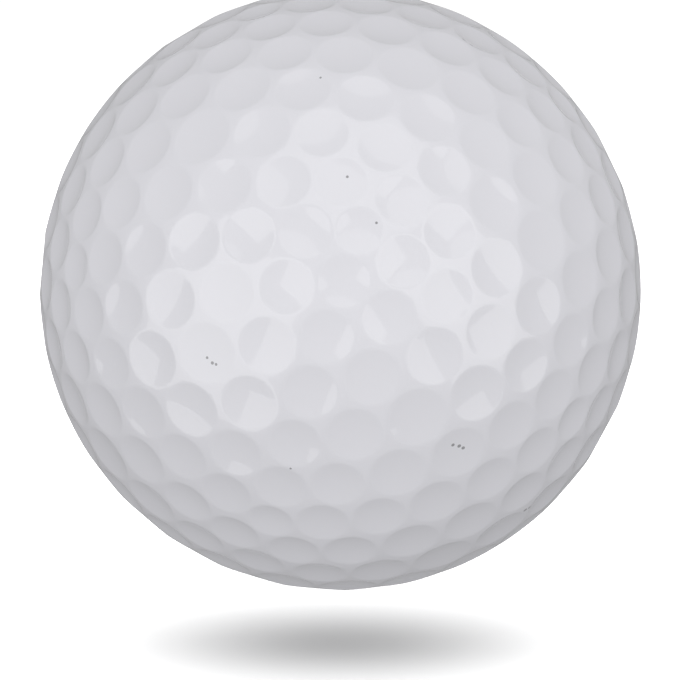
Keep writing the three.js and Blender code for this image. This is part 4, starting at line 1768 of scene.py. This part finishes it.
@dataclass
class Studio:
    """The camera, the lamps, a plain white floor just under the ball and a white backdrop all round.

    The ball's radius and centre in the picture are in pixels. The floor is so many radii below the ball's
    centre, lit by its lamp up to the near end of its fade and white by itself past the far end.
    """

    ball_radius: float = BALL_RADIUS * MM
    elevation: float = 10.0
    lens: float = 413.0
    sensor: float = 36.0
    ball_in_pixels: float = 300.6
    ball_centre: Pair = (340.4, 289.7)
    surroundings: Colour = (0.458, 0.458, 0.463, 1.0)
    dark_gloss: Colour = (0.34, 0.34, 0.345, 1.0)
    dark_way: tuple[float, float, float] = (0.0, 0.8, -0.6)
    dark_edge: Pair = (0.5, 0.95)
    floor_below: float = 1.202
    floor_colour: Colour = (0.3, 0.3, 0.3, 1.0)
    floor_fade: Pair = (0.12, 0.4)
    floor_radius: float = 1.5
    floor_rings: int = 24
    backdrop_radius: float = 6.0
    backdrop_sides: int = 64
    overhead_height: float = 0.3
    overhead_spread: Pair = (2.94, 1.82)
    overhead_radiance: float = 7.76
    softboxes: tuple[Softbox, ...] = (
        Softbox("softbox_top", 8.4, 45.2, -24.7, 0.57, 0.50, 0.5, 0.6, Shape.ELLIPSE),
        Softbox("softbox_left", -47.9, -12.2, 51.7, 0.616, 0.461, 0.5, 1.02),
        Softbox("softbox_right", 49.5, -4.0, -50.8, 0.545, 0.352, 0.5, 0.99),
        Softbox("front_fill", 12.0, 8.0, 0.0, 1.0, 1.0, 0.6, 0.29, mirrored=False),
        Softbox("high_fill", 2.0, 75.0, 0.0, 1.0, 1.0, 0.6, 0.245, mirrored=False),
        Softbox("back_fill", 168.0, 12.0, 0.0, 0.45, 0.45, 1.0, 7.0, mirrored=False),
    )

    def sight(self) -> tuple[Vector, Vector, Vector]:
        """Works out how the camera is turned.

        Returns:
            The camera's right, its up and the direction from the ball to the camera.
        """
        tilt = math.radians(self.elevation)
        right = Vector((1.0, 0.0, 0.0))
        up = Vector((0.0, math.sin(tilt), math.cos(tilt)))
        towards = Vector((0.0, -math.cos(tilt), math.sin(tilt)))
        return right, up, towards

    def build_camera(self) -> None:
        """Sets a long lens on the ball, aimed a little low so that the ball sits high in the frame."""
        right, up, towards = self.sight()
        focal = self.lens / self.sensor * PHOTO_PIXELS
        distance = self.ball_radius * math.hypot(focal / self.ball_in_pixels, 1.0)
        middle = PHOTO_PIXELS / 2
        aim = right * (middle - self.ball_centre[0]) - up * (middle - self.ball_centre[1])
        camera = bpy.data.cameras.new("camera")
        camera.lens = self.lens
        camera.sensor_width = self.sensor
        holder = bpy.data.objects.new("camera", camera)
        holder.location = aim * (distance / focal) + towards * distance
        holder.rotation_euler = towards.to_track_quat("Z", "Y").to_euler()
        bpy.context.scene.collection.objects.link(holder)
        bpy.context.scene.camera = holder

    def _lamp(self, name: str, shape: Shape, size: Pair, radiance: float, lit: Sequence[Object]) -> Object:
        """Makes an area lamp of a radiance, which its power is worked out from.

        Args:
            name: The lamp's name.
            shape: The shape of its face.
            size: Its width and height in metres.
            radiance: How bright its face is, where 1 is white.
            lit: The objects that it lights.

        Returns:
            The lamp, out of the camera's sight.
        """
        light = bpy.data.lights.new(name, "AREA")
        light.shape = shape.name
        light.size, light.size_y = size
        light.energy = radiance * math.pi * size[0] * size[1] * shape.value
        lamp = bpy.data.objects.new(name, light)
        lamp.visible_camera = False
        bpy.context.scene.collection.objects.link(lamp)
        lamp.light_linking.receiver_collection = bpy.data.collections.new(f"lit_by_{name}")
        for piece in lit:
            lamp.light_linking.receiver_collection.objects.link(piece)
        return lamp

    def build_softboxes(self, lit: Sequence[Object]) -> None:
        """Hangs the softboxes round the camera.

        Args:
            lit: The pieces of the ball, which alone they light.
        """
        right, up, towards = self.sight()
        for box in self.softboxes:
            side, rise, roll = (math.radians(angle) for angle in (box.sideways, box.above, box.roll))
            way = right * (math.cos(rise) * math.sin(side)) + up * math.sin(rise)
            way += towards * (math.cos(rise) * math.cos(side))
            across = right * math.cos(side) - towards * math.sin(side)
            x = across * math.cos(roll) + way.cross(across) * math.sin(roll)
            lamp = self._lamp(box.name, box.shape, (box.width, box.height), box.radiance, lit)
            turn = Matrix((x, way.cross(x), way)).transposed().to_4x4()
            lamp.matrix_world = Matrix.Translation(way * box.distance) @ turn
            lamp.visible_glossy = box.mirrored

    def _disc(self, height: float) -> Skin:
        """Makes the floor's disc: x = r cos(a), y = r sin(a), by distance from the middle and by bearing.

        Args:
            height: The height of the floor, in metres.

        Returns:
            The open skin, facing up.
        """
        r = np.linspace(0, self.floor_radius, self.floor_rings)[:, None]
        points = polar(r, bearings(SIDES), height).reshape(-1, 3) / MM
        whole = weld(points, grid_triangles(self.floor_rings, SIDES)[:, ::-1])
        return Skin(whole.points, whole.triangles)

    def _camera_only(self, piece: Object) -> None:
        """Keeps a piece of the stage from lighting, shading or showing in the ball.

        Args:
            piece: The floor or the backdrop.
        """
        piece.visible_diffuse = False
        piece.visible_glossy = False
        piece.visible_transmission = False
        piece.visible_shadow = False

    def floor_material(self) -> Material:
        """Makes plain white: lit by its lamp near the ball, bright by itself further out, clear from below.

        Returns:
            The material.
        """
        material, graph = ShaderGraph.of_material("studio_floor")
        lit = graph.add("BsdfDiffuse", {"Color": self.floor_colour})
        white = graph.add("Emission", {"Color": WHITE, "Strength": 1.0})
        far = graph.step(graph.from_axis(graph.place()), self.floor_fade)
        top = graph.add("MixShader", {0: far, 1: lit, 2: white})
        below = graph.add("NewGeometry", output="Backfacing")
        graph.close(graph.add("MixShader", {0: below, 1: top, 2: graph.add("BsdfTransparent")}))
        return material

    def backdrop_material(self) -> Material:
        """Makes a white that shines by itself.

        Returns:
            The material.
        """
        material, graph = ShaderGraph.of_material("studio_backdrop")
        graph.close(graph.add("Emission", {"Color": WHITE, "Strength": 1.0}))
        return material

    def build_stage(self) -> None:
        """Lays the floor and hangs the backdrop, with an overhead lamp that only the floor receives."""
        height = -self.floor_below * self.ball_radius
        floor = make_object("studio_floor", self._disc(height), self.floor_material())
        self._camera_only(floor)
        ball = revolved(arc(self.backdrop_radius / MM, -90.0, 90.0), self.backdrop_sides)
        backdrop = make_object("studio_backdrop", ball, self.backdrop_material())
        self._camera_only(backdrop)
        wide, deep = (2 * spread * self.overhead_height for spread in self.overhead_spread)
        lamp = self._lamp("overhead", Shape.ELLIPSE, (wide, deep), self.overhead_radiance, [floor])
        lamp.location = (0, 0, height + self.overhead_height)

    def build_world(self) -> None:
        """Fills in from all round with a soft grey, darker behind and below where the gloss shows it."""
        world = bpy.data.worlds.new("studio")
        world.use_nodes = True
        bpy.context.scene.world = world
        graph = ShaderGraph(world.node_tree)
        way = graph.add("TexCoord", output="Generated")
        dark = graph.step(graph.vectors("DOT_PRODUCT", way, self.dark_way, output="Value"), self.dark_edge)
        gloss = graph.add("LightPath", output="Is Glossy Ray")
        colour = graph.mix(dark * gloss, self.surroundings, self.dark_gloss)
        sky = graph.add("Background", {"Color": colour, "Strength": 1.0})
        graph.add("OutputWorld", {"Surface": sky})
        bpy.context.scene.view_settings.view_transform = "Standard"


def main() -> None:
    """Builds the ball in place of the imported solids, and the studio round the ball."""
    logging.basicConfig(level=logging.INFO, format="%(name)s %(message)s")
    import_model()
    layout = Layout()
    inside = [assembly(layout) for assembly in (Shells, PowerPack, LampRing, ChipSet, ImpactSwitch)]
    pieces = [piece for assembly in (Cover(), *inside) for piece in assembly.build()]
    studio = Studio()
    studio.build_camera()
    studio.build_world()
    studio.build_stage()
    studio.build_softboxes(pieces)


if __name__ == "__main__":
    main()
